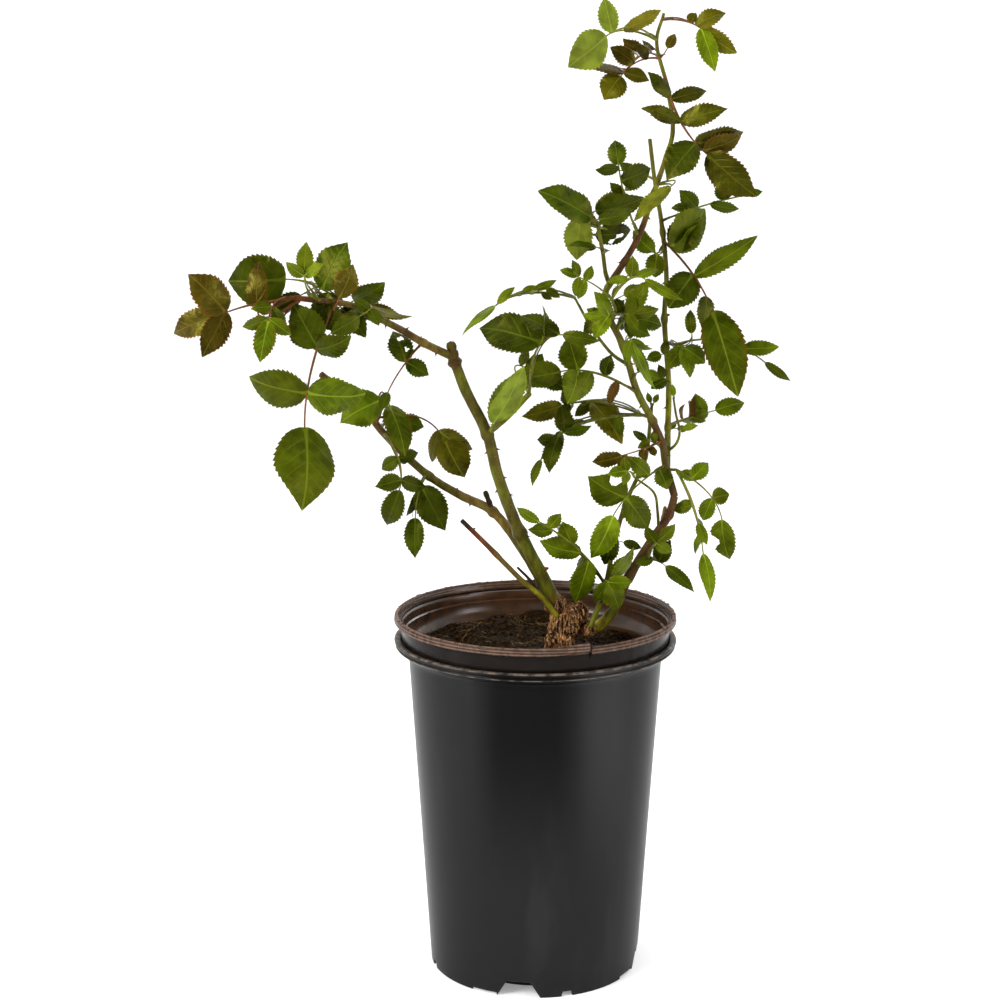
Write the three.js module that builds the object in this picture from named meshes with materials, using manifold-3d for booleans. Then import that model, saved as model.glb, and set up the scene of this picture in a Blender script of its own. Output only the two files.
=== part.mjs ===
// A potted rose bush: two nested nursery pots, their compost, a knobby rootstock, canes and leaf sprays.
// Millimetres, +Z up, +Y away from the front. The origin is the middle of the pot's flat underside.
import * as THREE from "three";
import { mergeVertices } from "three/addons/utils/BufferGeometryUtils.js";
import Module from "manifold-3d";

const wasm = await Module();
wasm.setup();

// Pots
const RIM_RADIUS = 110;
const ROUND_SIDES = 36;
const POT_WALL = 1.6;
const OUTER_TOP = 265.6;
const OUTER_FOOT_RADIUS = 82.5;
const OUTER_NECK_RADIUS = 99;
const OUTER_NECK = 255;
const SKIRT_HEIGHT = 14;
const INNER_TOP = 284.4;
const INNER_BAND_RADIUS = 104.5;
const LIP_HEIGHT = 6;
const NEST_GAP = 0.5;
const SLIT_TURN = 21;
const SLIT_WIDTH = 1.4;
const SLIT_DEPTH = 17;
const FLOOR_RADIUS = 60;
// The outer pot's rolled flange, and the step inside its neck that the inner pot's shoulder rests near.
const FLANGE_HEIGHT = 6;
const FLANGE_EDGE = 1;
const NECK_STEP = 3.4;
// The inner pot's rolled lip: how thick it is across, and how far the wall under it steps in.
const LIP_THICKNESS = 4;
const LIP_EDGE = 1.4;
const LEDGE = 2.6;
// The skirt's drain notches in each quarter: width at foot and top, height, and turn from the front.
const NOTCHES = [
  { foot: 34, top: 18, height: 13, turn: -9.4 },
  { foot: 22, top: 22, height: 2, turn: -29 },
  { foot: 9, top: 7, height: 4, turn: 17 },
];

// Compost
const SOIL_LEVEL = 253;
const SOIL_ROUGHNESS = 3.4;
// How deep the hollow in front of the rootstock is, and how far the compost rises to the back and left.
const SOIL_DIP = 4;
const SOIL_BANK = 7;

// Plant
const GAP = 0.35;
const CANE_SIDES = 6;
const CANE_STEP = 13;
const PRICKLE_SIZE = 4.6;
const PETIOLE_RADIUS = 1.15;
const PETIOLE_STEP = 18;
// How far a leaf's stalk runs on along its end leaflet's aim, as a share of its reach.
const STALK_BEND = 0.42;
const NECK = 0.42;
const LEAF_THICKNESS = 1.1;
const LARGE_LEAF = 30;
// A blade's outline: its share of the full width at shares of its length.
const LARGE_OUTLINE = [[0.2, 0.8], [0.48, 1], [0.78, 0.66]];
const SMALL_OUTLINE = [[0.3, 0.96], [0.7, 0.8]];
// How deep an end leaflet's neck is sunk in its stalk.
const END_SUNK = 1.2;
const FOOT = { x: 20, depth: 0, height: SOIL_LEVEL + 1 };

// Places on the plant are read in front view, on the upright plane through the pot's axis, from this eye.
// A point nearer or farther than that plane is drawn in or spread, so that it keeps its place in that view.
const EYE = { x: -27.5, distance: 1512, height: 675 };
// The canes fan out in depth: between these heights their depth grows by this share.
const FANNING = 0.9;
const FANS_BETWEEN = [290, 420];
// How far, at most, a blade leans out of the front plane, as a slope, and turns about its rib, in degrees.
const LEAN = 0.5;
const TWIST = 32;
// How far a leaflet's length, as a share, and its aim, in degrees, vary, and its least and greatest droop.
const LENGTH_VARIES = 0.03;
const AIM_VARIES = 4;
const DROOP = [0.08, 0.22];
// Two solids touch where they share more than this volume.
const TOUCH = 1e-4;

// Seeded draws

function seeded(seed) {
  let state = seed >>> 0;
  return () => {
    state = (state + 0x6d2b79f5) >>> 0;
    let mixed = Math.imul(state ^ (state >>> 15), state | 1);
    mixed = (mixed + Math.imul(mixed ^ (mixed >>> 7), mixed | 61)) ^ mixed;
    return ((mixed ^ (mixed >>> 14)) >>> 0) / 4294967296;
  };
}

const spread = (draw, width) => (draw() - 0.5) * 2 * width;

// Solids

function solidFrom(points, faces) {
  const vertProperties = new Float32Array(points.flatMap((p) => [p.x, p.y, p.z]));
  const triVerts = new Uint32Array(faces.flat());
  return new wasm.Manifold(new wasm.Mesh({ numProp: 3, vertProperties, triVerts }));
}

function solidOf(geometry) {
  const bare = geometry.clone();
  bare.deleteAttribute("normal");
  bare.deleteAttribute("uv");
  const merged = mergeVertices(bare, 1e-3);
  const vertProperties = new Float32Array(merged.attributes.position.array);
  const triVerts = new Uint32Array(merged.index.array);
  return new wasm.Manifold(new wasm.Mesh({ numProp: 3, vertProperties, triVerts }));
}

function geometryOf(solid) {
  const { numProp, vertProperties, triVerts } = solid.getMesh();
  const position = new Float32Array((vertProperties.length / numProp) * 3);
  for (let i = 0; i * numProp < vertProperties.length; i++)
    position.set(vertProperties.subarray(i * numProp, i * numProp + 3), i * 3);
  return new THREE.BufferGeometry()
    .setAttribute("position", new THREE.BufferAttribute(position, 3))
    .setIndex(new THREE.BufferAttribute(new Uint32Array(triVerts), 1));
}

// The largest body of a solid: loose scraps are dropped.
function largest(solid) {
  const bodies = solid.decompose().filter((body) => body.volume() > 0);
  return bodies.reduce((a, b) => (b.volume() > a.volume() ? b : a));
}

const touches = (a, b) => a.intersect(b).volume() > TOUCH;

// Curves and limbs

function seen(x, z, depth) {
  const away = depth * (1 + FANNING * THREE.MathUtils.smoothstep(z, ...FANS_BETWEEN));
  const wider = 1 + away / EYE.distance;
  return new THREE.Vector3(EYE.x + (x - EYE.x) * wider, away, EYE.height + (z - EYE.height) * wider);
}

function through(places) {
  const points = places.map(([x, z, depth]) => seen(x, z, depth));
  return new THREE.CatmullRomCurve3(points, false, "centripetal");
}

// The share of a curve where it passes nearest to a place in front view.
function nearest(curve, [x, z]) {
  const SAMPLES = 240;
  let best = { gap: Infinity, share: 0 };
  for (let i = 0; i <= SAMPLES; i++) {
    const point = curve.getPoint(i / SAMPLES);
    const wider = 1 + point.y / EYE.distance;
    const across = EYE.x + (point.x - EYE.x) / wider - x;
    const up = EYE.height + (point.z - EYE.height) / wider - z;
    const gap = Math.hypot(across, up);
    if (gap < best.gap) best = { gap, share: i / SAMPLES };
  }
  return best.share;
}

// A closed tube through points, with a radius at each, of flat-ended rings that don't twist.
function limb(points, radii, sides) {
  const along = points.map((p, i) => {
    const before = points[Math.max(i - 1, 0)];
    const after = points[Math.min(i + 1, points.length - 1)];
    return after.clone().sub(before).normalize();
  });
  const start = Math.abs(along[0].y) < 0.9 ? new THREE.Vector3(0, 1, 0) : new THREE.Vector3(1, 0, 0);
  let side = start.clone().cross(along[0]).normalize();
  const ring = [];
  points.forEach((p, i) => {
    side = side.clone().addScaledVector(along[i], -side.dot(along[i])).normalize();
    const other = along[i].clone().cross(side);
    for (let k = 0; k < sides; k++) {
      const turn = (2 * Math.PI * k) / sides;
      ring.push(
        p
          .clone()
          .addScaledVector(side, radii[i] * Math.cos(turn))
          .addScaledVector(other, radii[i] * Math.sin(turn)),
      );
    }
  });
  const faces = [];
  for (let i = 0; i + 1 < points.length; i++)
    for (let k = 0; k < sides; k++) {
      const a = i * sides + k;
      const b = i * sides + ((k + 1) % sides);
      faces.push([a, b, b + sides], [a, b + sides, a + sides]);
    }
  const last = (points.length - 1) * sides;
  for (let k = 1; k + 1 < sides; k++) {
    faces.push([0, k + 1, k]);
    faces.push([last, last + k, last + k + 1]);
  }
  return solidFrom(ring, faces);
}

// One prickle: a small hooked spike whose root is sunk in its cane.
function prickle(root, outward, along, size) {
  const broad = along.clone().multiplyScalar(size * 0.42);
  const thin = along.clone().cross(outward).multiplyScalar(size * 0.2);
  const tip = root.clone().addScaledVector(outward, size).addScaledVector(along, -size * 0.25);
  const foot = root.clone().addScaledVector(outward, -size * 0.35);
  const points = [
    foot.clone().add(broad),
    foot.clone().add(thin),
    foot.clone().sub(broad),
    foot.clone().sub(thin),
    tip,
  ];
  return solidFrom(points, [[0, 1, 2], [0, 2, 3], [1, 0, 4], [2, 1, 4], [3, 2, 4], [0, 3, 4]]);
}

// One leaflet: a closed flat blade with a ridge under its midrib, drooping to its tip.
// Its neck starts inside the rachis, by the length named sunk.
function leaflet({ base, tip, width, facing, droop, sunk }) {
  const reach = tip.clone().sub(base);
  const length = reach.length();
  const along = reach.clone().normalize();
  const normal = facing.clone().addScaledVector(along, -facing.dot(along)).normalize();
  const across = normal.clone().cross(along);
  const stations = length > LARGE_LEAF ? LARGE_OUTLINE : SMALL_OUTLINE;
  const rows = [[-sunk / length, 0]].concat(stations);
  const points = [];
  rows.forEach(([t, share], i) => {
    const half = i ? (width / 2) * share : NECK;
    const ridge = i ? LEAF_THICKNESS : NECK;
    const bow = droop * length * 2 * Math.max(t, 0) * (1 - t);
    const rib = base.clone().addScaledVector(reach, t).addScaledVector(normal, bow + (i ? 0 : NECK / 2));
    points.push(rib.clone().addScaledVector(across, -half));
    points.push(rib.clone().addScaledVector(across, half));
    points.push(rib.clone().addScaledVector(normal, -ridge));
  });
  points.push(tip);
  const faces = [[0, 1, 2]];
  for (let i = 0; i + 1 < rows.length; i++)
    for (let k = 0; k < 3; k++) {
      const a = i * 3 + k;
      const b = i * 3 + ((k + 1) % 3);
      faces.push([a, b + 3, b], [a, a + 3, b + 3]);
    }
  const last = (rows.length - 1) * 3;
  const end = points.length - 1;
  for (let k = 0; k < 3; k++) faces.push([last + k, end, last + ((k + 1) % 3)]);
  return solidFrom(points, faces);
}

// A compound leaf: a bowed three-sided rachis from its stem to its end leaflet, and pairs of side leaflets.
// A row gives, in front view: at, where it leaves its stem; to, where the end leaflet begins, with its depth;
// aim, the way the end leaflet points, in degrees up from +X; end and side, leaflet length and width;
// pairs, how many pairs of side leaflets, at these spots along the rachis; open, their angle to it;
// more, further leaflets as [spot, aim, length, width, tilt]; tilt, how far the blades are turned edge-on.
function compoundLeaf(row, curve, draw) {
  const { to, aim, end, pairs = 0, side, open = 75, shrink = 0.8, tilt = 0, more = [] } = row;
  const spots = row.spots ?? [0.9, 0.55, 0.3].slice(0, pairs).reverse();
  const start = curve.getPoint(nearest(curve, row.at));
  const finish = seen(...to);
  const heading = (degrees, lean) => {
    const turn = THREE.MathUtils.degToRad(degrees);
    return new THREE.Vector3(Math.cos(turn), lean, Math.sin(turn));
  };
  const pull = finish.distanceTo(start) * STALK_BEND;
  const bend = finish.clone().addScaledVector(heading(aim, 0), -pull);
  const rachis = new THREE.QuadraticBezierCurve3(start, bend, finish);
  const steps = Math.max(2, Math.round(rachis.getLength() / PETIOLE_STEP));
  const points = rachis.getPoints(steps);
  const radii = points.map((_, i) => PETIOLE_RADIUS * (1 - (0.1 * i) / steps));
  const solids = [limb(points, radii, 3)];
  const place = (spot, degrees, length, width, turned) => {
    const lean = spread(draw, LEAN);
    const seenLength = length * (1 + spread(draw, LENGTH_VARIES));
    const reach = heading(degrees + spread(draw, AIM_VARIES), lean).multiplyScalar(seenLength);
    const before = Math.min(Math.floor(spot * steps), steps - 1);
    const base = points[before].clone().lerp(points[before + 1], spot * steps - before);
    const tip = base.clone().add(reach);
    const twist = THREE.MathUtils.degToRad(spread(draw, TWIST));
    const turn = THREE.MathUtils.degToRad(turned) + twist;
    const along = reach.clone().normalize();
    const front = new THREE.Vector3(0, -1, 0);
    const facing = front.addScaledVector(along, -front.dot(along)).normalize();
    facing.applyAxisAngle(along, turn);
    const droop = THREE.MathUtils.lerp(...DROOP, draw());
    const sunk = spot === 1 ? END_SUNK : 0;
    solids.push(leaflet({ base, tip, width: width / Math.cos(twist), facing, droop, sunk }));
  };
  spots.forEach((spot, i) => {
    const tangent = rachis.getTangent(spot);
    const grown = shrink ** (spots.length - 1 - i);
    const along = THREE.MathUtils.radToDeg(Math.atan2(tangent.z, tangent.x));
    for (const hand of [-1, 1])
      place(spot, along + hand * open, side[0] * grown, side[1] * grown, tilt);
  });
  more.forEach(([spot, degrees, length, width, turned = 0]) => place(spot, degrees, length, width, turned));
  place(1, aim, end[0], end[1], tilt);
  return wasm.Manifold.union(solids);
}

// Canes: places in front view with their depth, and the diameter at foot and tip.
// A cane with a spray ends as a limb at the share named enters, and its spray's own stem goes on from there.
const CANES = {
  cane_left: {
    path: [
      [17, 290, -5], [4, 316, -8], [-12, 347, -10], [-29, 392, -10], [-37, 424, -8], [-54, 459, -10],
      [-64, 486, -12],
    ],
    width: [10.2, 7.6],
    prickles: 7,
    stubs: [{ from: [-61, 478], to: [-65, 495, -13], width: 8 }],
  },
  cane_arch: {
    path: [
      [-63, 484, -12], [-84, 494, -20], [-101, 504, -26], [-118, 513, -32], [-138, 523, -40],
      [-165, 527, -50], [-183, 529, -56],
    ],
    width: [6.2, 3.8],
    enters: 0.52,
    prickles: 4,
  },
  cane_low_left: {
    path: [
      [17, 284, 6], [5, 308, 14], [-10, 334, 20], [-33, 364, 24], [-58, 377, 28], [-82, 392, 28],
      [-118, 427, 24], [-133, 447, 20], [-164, 471, 14],
    ],
    width: [8.5, 5],
    enters: 0.58,
    prickles: 4,
    stubs: [{ from: [-33, 364], to: [-39, 380, 22], width: 4.6 }],
  },
  cane_cut: {
    path: [[17, 281, -8], [4, 297, -15], [-10, 309, -18], [-38, 338, -20], [-57, 357, -22]],
    width: [4.6, 3.6],
    prickles: 3,
  },
  twig_dead: {
    path: [[10, 284, -2], [-3, 308, 6], [-14, 320, 9]],
    width: [3.2, 1.8],
    prickles: 0,
  },
  cane_inner: {
    path: [[43, 272, -9], [54, 303, -4], [61, 340, 9], [70, 372, 14], [84, 406, 15], [88, 442, 13]],
    width: [4.4, 2.8],
    prickles: 4,
  },
  cane_right_lower: {
    path: [
      [40, 268, 2], [52, 275, 2], [62, 288, 0], [72, 311, 0], [89, 340, 2], [103, 362, 4],
      [107, 376, 5],
    ],
    width: [9, 6],
    prickles: 4,
    stubs: [{ from: [96, 352], to: [100, 368, 8], width: 3.2 }],
  },
  cane_right_upper: {
    path: [
      [107, 376, 5], [100, 400, 6], [97, 417, 5], [88, 437, 3], [77, 458, 0], [66, 492, -4],
      [51, 525, -7], [53, 536, -8],
    ],
    width: [6, 4.8],
    prickles: 5,
  },
  cane_crown: {
    path: [
      [53, 536, -8], [66, 556, -10], [77, 576, -13], [87, 606, -17], [96, 633, -21], [101, 653, -24],
      [96, 686, -28], [88, 718, -31], [93, 738, -35],
    ],
    width: [5.2, 2.2],
    enters: 0.4,
    prickles: 5,
  },
  cane_spine: {
    path: [
      [101, 398, 8], [101, 430, 14], [101, 464, 17], [97, 513, 20], [98, 545, 22], [94, 583, 24],
      [88, 617, 25], [84, 647, 27],
    ],
    width: [5, 3],
    enters: 0.6,
    prickles: 4,
  },
};

// Leaf sprays. Each is one mass: its leaves, and a stem that goes on from a cane's tip or leaves its side.
const SPRAYS = {
  foliage_arch: {
    after: "cane_arch",
    leaves: [
      {
        at: [-183, 529], to: [-240, 516, -66], aim: -158, end: [39, 20],
        more: [[0.9, 132, 36, 24], [0.9, -116, 34, 20]],
      },
      {
        at: [-146, 525], to: [-189, 543, -50], aim: 180, end: [42, 38],
        more: [[0.35, 60, 39, 27], [0.25, -110, 30, 19]],
      },
      { at: [-178, 529], to: [-211, 520, -62], aim: 92, end: [34, 16] },
      {
        at: [-183, 529], to: [-203, 512, -78], aim: -100, end: [30, 16], pairs: 2, spots: [0.7, 0.97],
        side: [19, 11], open: 62,
      },
      {
        at: [-152, 524], to: [-177, 430, -62], aim: -90, end: [53, 40], pairs: 1, spots: [0.7],
        side: [42, 29], open: 94,
        more: [[0.34, 122, 36, 26], [0.35, 18, 27, 19]],
      },
      { at: [-151, 526], to: [-149, 529, -66], aim: 66, end: [25, 17] },
      { at: [-140, 523], to: [-138, 527, -22], aim: 33, end: [27, 19] },
      { at: [-131, 519], to: [-125, 523, -54], aim: -19, end: [31, 12], tilt: 34 },
      {
        at: [-138, 522], to: [-134, 515, -66], aim: -150, end: [22, 16], pairs: 1, spots: [0.7],
        side: [13, 9],
      },
      { at: [-163, 527], to: [-175, 549, -66], aim: 86, end: [20, 13], pairs: 1, side: [16, 10], open: 58 },
    ],
  },
  spray_arch: {
    on: "cane_arch",
    leaves: [
      {
        at: [-87, 494], to: [-113, 457, -24], aim: -114, end: [14, 9],
        more: [[0.38, 112, 25, 18], [0.38, -33, 19, 14]],
      },
    ],
  },
  foliage_low_left: {
    after: "cane_low_left",
    leaves: [
      { at: [-128, 441], to: [-118, 451, 0], aim: -152, end: [35, 28] },
      { at: [-121, 433], to: [-112, 447, -8], aim: -72, end: [37, 20] },
      { at: [-118, 427], to: [-104, 435, 42], aim: -14, end: [20, 16] },
      {
        at: [-117, 426], to: [-105, 381, 4], aim: -106, end: [32, 19], pairs: 2, spots: [0.45, 0.82],
        side: [20, 15],
      },
      {
        at: [-124, 436], to: [-70, 420, 50], aim: -63, end: [36, 28],
        more: [[0.85, -100, 29, 11], [0.85, -28, 32, 20]],
      },
      {
        at: [-84, 394], to: [-93, 359, 12], aim: -92, end: [31, 17],
        more: [[0.3, -112, 30, 8], [0.3, -63, 37, 26]],
      },
    ],
  },
  foliage_middle: {
    stem: [[-36, 426, -8], [-21, 439, -18], [-5, 456, -26]],
    width: [5.6, 4.4],
    leaves: [
      { at: [-27, 434], to: [-33, 433, -30], aim: 63, end: [50, 27], tilt: 42 },
      {
        at: [-5, 456], to: [20, 501, -40], aim: -5, end: [27, 11],
        more: [[0.6, 165, 48, 28], [0.62, 86, 29, 12, 62], [0.95, 156, 31, 14]],
      },
    ],
  },
  spray_middle_right: {
    on: "cane_right_upper",
    leaves: [
      {
        at: [77, 455], to: [19, 473, -12], aim: -169, end: [36, 23], pairs: 1, spots: [0.77],
        side: [25, 23], open: 72,
        more: [[0.42, 78, 17, 12], [0.6, -128, 24, 16], [0.26, -108, 21, 9, 40]],
      },
    ],
  },
  spray_middle_low: {
    on: "cane_right_upper",
    stem: [[89, 437, 3], [80, 440, 4]],
    width: [3.4, 2.6],
    leaves: [
      {
        at: [80, 440], to: [20, 447, 22], aim: -165, end: [32, 17],
        more: [[0.6, -52, 37, 20], [0.62, -138, 16, 10], [0.93, 100, 16, 10], [0.9, -120, 14, 9]],
      },
      {
        at: [82, 439], to: [4, 405, 8], aim: -110, end: [20, 7],
        more: [
          [0.6, 98, 20, 16], [0.68, -106, 27, 15], [0.62, 18, 22, 10], [0.74, 182, 14, 12],
          [0.16, -80, 15, 9],
        ],
      },
    ],
  },
  foliage_centre: {
    on: "cane_right_upper",
    stem: [[57, 513, -6], [60, 518, -16], [57, 528, -28]],
    width: [3.2, 2.2],
    leaves: [
      { at: [60, 518], to: [54, 516, -22], aim: 178, end: [19, 9], pairs: 1, side: [21, 12], open: 60 },
      {
        at: [60, 518], to: [70, 517, -20], aim: 6, end: [22, 12], pairs: 1, side: [14, 9], open: 62,
        more: [[1, 64, 28, 15]],
      },
      {
        at: [57, 528], to: [31, 545, -38], aim: 160, end: [14, 7],
        more: [[0.98, 112, 13, 7], [0.8, 70, 12, 8], [0.82, -105, 15, 9], [0.97, -98, 14, 8]],
      },
      {
        at: [57, 528], to: [82, 543, -40], aim: -32, end: [30, 8],
        more: [[0.5, 185, 16, 7], [0.6, 90, 17, 10], [0.8, 22, 16, 7]],
      },
    ],
  },
  spray_inside_right: {
    on: "cane_right_upper",
    leaves: [
      {
        at: [68, 486], to: [73, 495, -16], aim: -64, end: [38, 13], tilt: 58,
        pairs: 1, spots: [0.9], side: [17, 9], open: 40,
      },
    ],
  },
  foliage_plume: {
    on: "cane_right_upper",
    stem: [[70, 478, -3], [57, 487, 6], [41, 508, 14], [29, 529, 10]],
    width: [3.2, 2.2],
    leaves: [
      {
        at: [29, 529], to: [-31, 523, -22], aim: -142, end: [33, 8], tilt: 40,
        more: [[0.97, 42, 18, 7], [0.66, 26, 11, 5], [0.5, 24, 18, 7], [0.36, -34, 12, 7]],
      },
    ],
  },
  foliage_crown_left: {
    on: "cane_crown",
    stem: [[55, 539, -9], [52, 548, -13], [50, 562, -19], [46, 582, -25]],
    width: [3.8, 3],
    leaves: [
      { at: [46, 582], to: [41, 589, -34], aim: 153, end: [43, 22], tilt: 62 },
      { at: [46, 582], to: [43, 587, -16], aim: 160, end: [34, 14], tilt: 68 },
      { at: [46, 582], to: [44, 594, -26], aim: 19, end: [37, 20] },
      { at: [46, 582], to: [46, 588, -40], aim: 11, end: [26, 14], tilt: 20 },
      { at: [47, 576], to: [44, 577, -14], aim: 7, end: [28, 18] },
      { at: [46, 582], to: [33, 589, -34], aim: -91, end: [31, 22] },
      { at: [50, 563], to: [45, 567, -34], aim: 172, end: [21, 10], tilt: 44 },
    ],
  },
  foliage_crown_top: {
    after: "cane_crown",
    leaves: [
      {
        at: [88, 719], to: [51, 722, -52], aim: -146, end: [34, 26],
        more: [[0.9, 104, 25, 15], [0.6, 29, 25, 12, 68]],
      },
      {
        at: [92, 706], to: [62, 693, -12], aim: -127, end: [21, 21],
        more: [[0.25, 143, 15, 9], [0.6, 148, 22, 14], [0.92, 170, 29, 12, 30], [0.92, -17, 20, 11]],
      },
      {
        at: [92, 733], to: [121, 727, -46], aim: -34, end: [30, 14],
        more: [[0.97, -68, 32, 15], [0.85, 22, 23, 13], [0.7, 62, 9, 6]],
      },
      {
        at: [94, 694], to: [127, 636, -42], aim: -38, end: [45, 25],
        more: [
          [0.22, 136, 25, 10], [0.24, 10, 28, 11, 12], [0.5, 163, 30, 11, 10], [0.5, 15, 33, 16],
          [0.8, 12, 36, 20], [0.8, -128, 33, 23], [0.93, 18, 29, 16],
        ],
      },
      { at: [90, 613], to: [100, 612, -34], aim: -140, end: [36, 14], tilt: 34 },
      { at: [92, 706], to: [96, 713, -36], aim: 62, end: [12, 8] },
    ],
  },
  spray_crown_inner: {
    on: "cane_crown",
    leaves: [
      {
        at: [77, 575], to: [61, 628, -26], aim: 97, end: [18, 15],
        more: [[0.55, 136, 16, 9], [0.95, 178, 18, 9], [0.78, 20, 24, 19]],
      },
    ],
  },
  foliage_spine: {
    after: "cane_spine",
    leaves: [
      {
        at: [95, 571], to: [133, 519, 2], aim: -70, end: [67, 33],
        more: [[0.1, 45, 41, 30], [0.52, 34, 55, 17, 24], [0.5, -125, 31, 26], [0.8, -100, 24, 15]],
      },
      {
        at: [93, 587], to: [158, 606, 40], aim: 10, end: [12, 7],
        more: [[0.4, 134, 20, 15], [0.38, 182, 19, 9], [0.55, -12, 24, 10], [0.74, 111, 17, 16]],
      },
      {
        at: [88, 617], to: [60, 624, 34], aim: 182, end: [17, 8],
        more: [[0.5, 150, 16, 9], [0.35, -135, 18, 12]],
      },
      {
        at: [96, 570], to: [88, 564, 12], aim: 138, end: [22, 15],
        more: [[0.9, 118, 24, 8], [0.8, -92, 20, 16]],
      },
    ],
  },
  spray_low_right: {
    on: "cane_spine",
    leaves: [
      {
        at: [101, 431], to: [137, 443, 24], aim: 14, end: [25, 14],
        more: [[0.8, 124, 18, 10], [0.85, -160, 17, 10], [0.55, 92, 17, 6], [0.5, -20, 12, 7]],
      },
    ],
  },
  spray_under: {
    on: "cane_spine",
    stem: [[98, 496, 19], [104, 493, 12]],
    width: [2.8, 2.2],
    leaves: [
      {
        at: [104, 493], to: [112, 491, 2], aim: -38, end: [20, 16],
        more: [[0.95, -124, 20, 15], [0.9, -74, 23, 12]],
      },
      { at: [104, 493], to: [118, 502, 6], aim: 96, end: [18, 9] },
      {
        at: [104, 493], to: [174, 480, 48], aim: -38, end: [27, 8],
        more: [[0.75, 2, 27, 14], [0.5, -55, 30, 12]],
      },
    ],
  },
  spray_big_low: {
    on: "cane_right_upper",
    leaves: [
      {
        at: [100, 401], to: [60, 361, -14], aim: -118, end: [37, 22],
        more: [[0.25, 137, 23, 14], [0.68, 147, 34, 29], [0.68, -57, 34, 22], [0.1, -66, 17, 15]],
      },
    ],
  },
  spray_bronze_low: {
    on: "cane_right_upper",
    leaves: [
      {
        at: [96, 419], to: [66, 408, -8], aim: -165, end: [23, 14],
        more: [[0.9, -100, 15, 10], [0.5, -80, 9, 6], [0.3, -60, 9, 6]],
      },
    ],
  },
  spray_outer_low: {
    on: "cane_right_upper",
    stem: [[101, 397, 6], [108, 397, 0]],
    width: [3, 2.4],
    leaves: [
      {
        at: [108, 397], to: [144, 358, -22], aim: -77, end: [33, 19],
        more: [[0.22, 39, 18, 13], [0.62, -108, 20, 13], [0.62, 12, 14, 14], [0.06, -25, 14, 9]],
      },
      {
        at: [108, 397], to: [130, 331, 10], aim: -84, end: [37, 12],
        more: [[0.4, 205, 15, 10], [0.75, -100, 17, 7, 40], [0.62, -66, 19, 9]],
      },
    ],
  },
  shoot_small: {
    on: "cane_spine",
    stem: [[101, 411, 11], [108, 418, 8], [110, 427, 7], [107, 440, 6], [105, 452, 6]],
    width: [2.6, 1.7],
    leaves: [
      { at: [110, 427], to: [113, 429, 2], aim: 20, end: [11, 6] },
      { at: [105, 452], to: [105, 454, 5], aim: 100, end: [9, 5] },
    ],
  },
  spray_inner_tip: {
    after: "cane_inner",
    stem: [[88, 442, 13], [88.5, 447, 13]],
    width: [3.1, 2.4],
    leaves: [
      { at: [88.5, 447], to: [87.5, 449, 13], aim: 112, end: [9, 5] },
      { at: [88.5, 447], to: [90, 449, 11], aim: 62, end: [8, 5] },
    ],
  },
  spray_inner_low: {
    on: "cane_inner",
    leaves: [
      {
        at: [55, 305], to: [3, 356, -44], aim: 150, end: [20, 9],
        more: [
          [0.86, 182, 19, 11], [0.9, 50, 14, 11], [0.62, 118, 20, 16], [0.5, 166, 33, 19],
          [0.38, -104, 38, 20],
        ],
      },
    ],
  },
  spray_foot: {
    on: "cane_inner",
    stem: [[50, 291, -6], [56, 299, -22]],
    width: [3, 2.2],
    leaves: [
      { at: [56, 299], to: [57, 307, -38], aim: -66, end: [23, 18], pairs: 1, side: [19, 13], open: 66 },
      { at: [56, 299], to: [59, 311, -36], aim: 52, end: [28, 14], tilt: 24 },
    ],
  },
  spray_right_foot: {
    on: "cane_right_lower",
    stem: [[80, 326, 1], [88, 327, -5]],
    width: [3, 2.2],
    leaves: [
      {
        at: [88, 327], to: [101, 321, -10], aim: -41, end: [29, 10],
        more: [[0.2, -165, 14, 8], [0.5, 62, 20, 13]],
      },
      { at: [88, 327], to: [95, 341, -20], aim: 40, end: [18, 11], pairs: 1, side: [16, 10], open: 80 },
    ],
  },
  shoot_fork: {
    on: "cane_right_lower",
    stem: [[95, 352, 3], [94, 365, -4], [91, 379, -10], [76, 391, -14]],
    width: [2.8, 1.8],
    leaves: [{ at: [76, 391], to: [69, 396, -16], aim: 190, end: [14, 9], pairs: 1, side: [11, 8] }],
  },
};

// Colours and finishes
const FINISH = {
  pot: { color: 0x1d1d1c, roughness: 0.42, metalness: 0 },
  inner: { color: 0x2f251b, roughness: 0.5, metalness: 0 },
  soil: { color: 0x241a12, roughness: 0.95, metalness: 0 },
  rootstock: { color: 0x4d3a28, roughness: 0.9, metalness: 0 },
  cane: { color: 0x5c5f33, roughness: 0.6, metalness: 0 },
  leaf: { color: 0x465f17, roughness: 0.45, metalness: 0 },
};

const plant = new THREE.Group();

function addPart(name, solid, finish) {
  const mesh = new THREE.Mesh(geometryOf(solid), new THREE.MeshStandardMaterial(FINISH[finish]));
  mesh.name = name;
  plant.add(mesh);
}

// Round pieces, turned about the pot's axis

function turned(profile) {
  const outline = profile.map(([radius, height]) => new THREE.Vector2(radius, height));
  return solidOf(new THREE.LatheGeometry(outline, ROUND_SIDES).rotateX(Math.PI / 2));
}

// A block that cuts one drain notch, turned by a number of quarters.
function notch({ foot, top, height, turn }, quarters) {
  const shape = new THREE.Shape();
  shape.moveTo(-foot / 2, -1);
  shape.lineTo(foot / 2, -1);
  shape.lineTo(top / 2, height);
  shape.lineTo(-top / 2, height);
  const block = new THREE.ExtrudeGeometry(shape, { depth: 12, bevelEnabled: false });
  block.rotateX(Math.PI / 2);
  block.translate(0, -OUTER_FOOT_RADIUS + 10, 0);
  block.rotateZ(THREE.MathUtils.degToRad(turn + 90 * quarters));
  return solidOf(block);
}

const neckSlope = (OUTER_NECK_RADIUS - OUTER_FOOT_RADIUS) / OUTER_NECK;
const outerRadiusAt = (height) => OUTER_FOOT_RADIUS + neckSlope * height;

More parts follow.
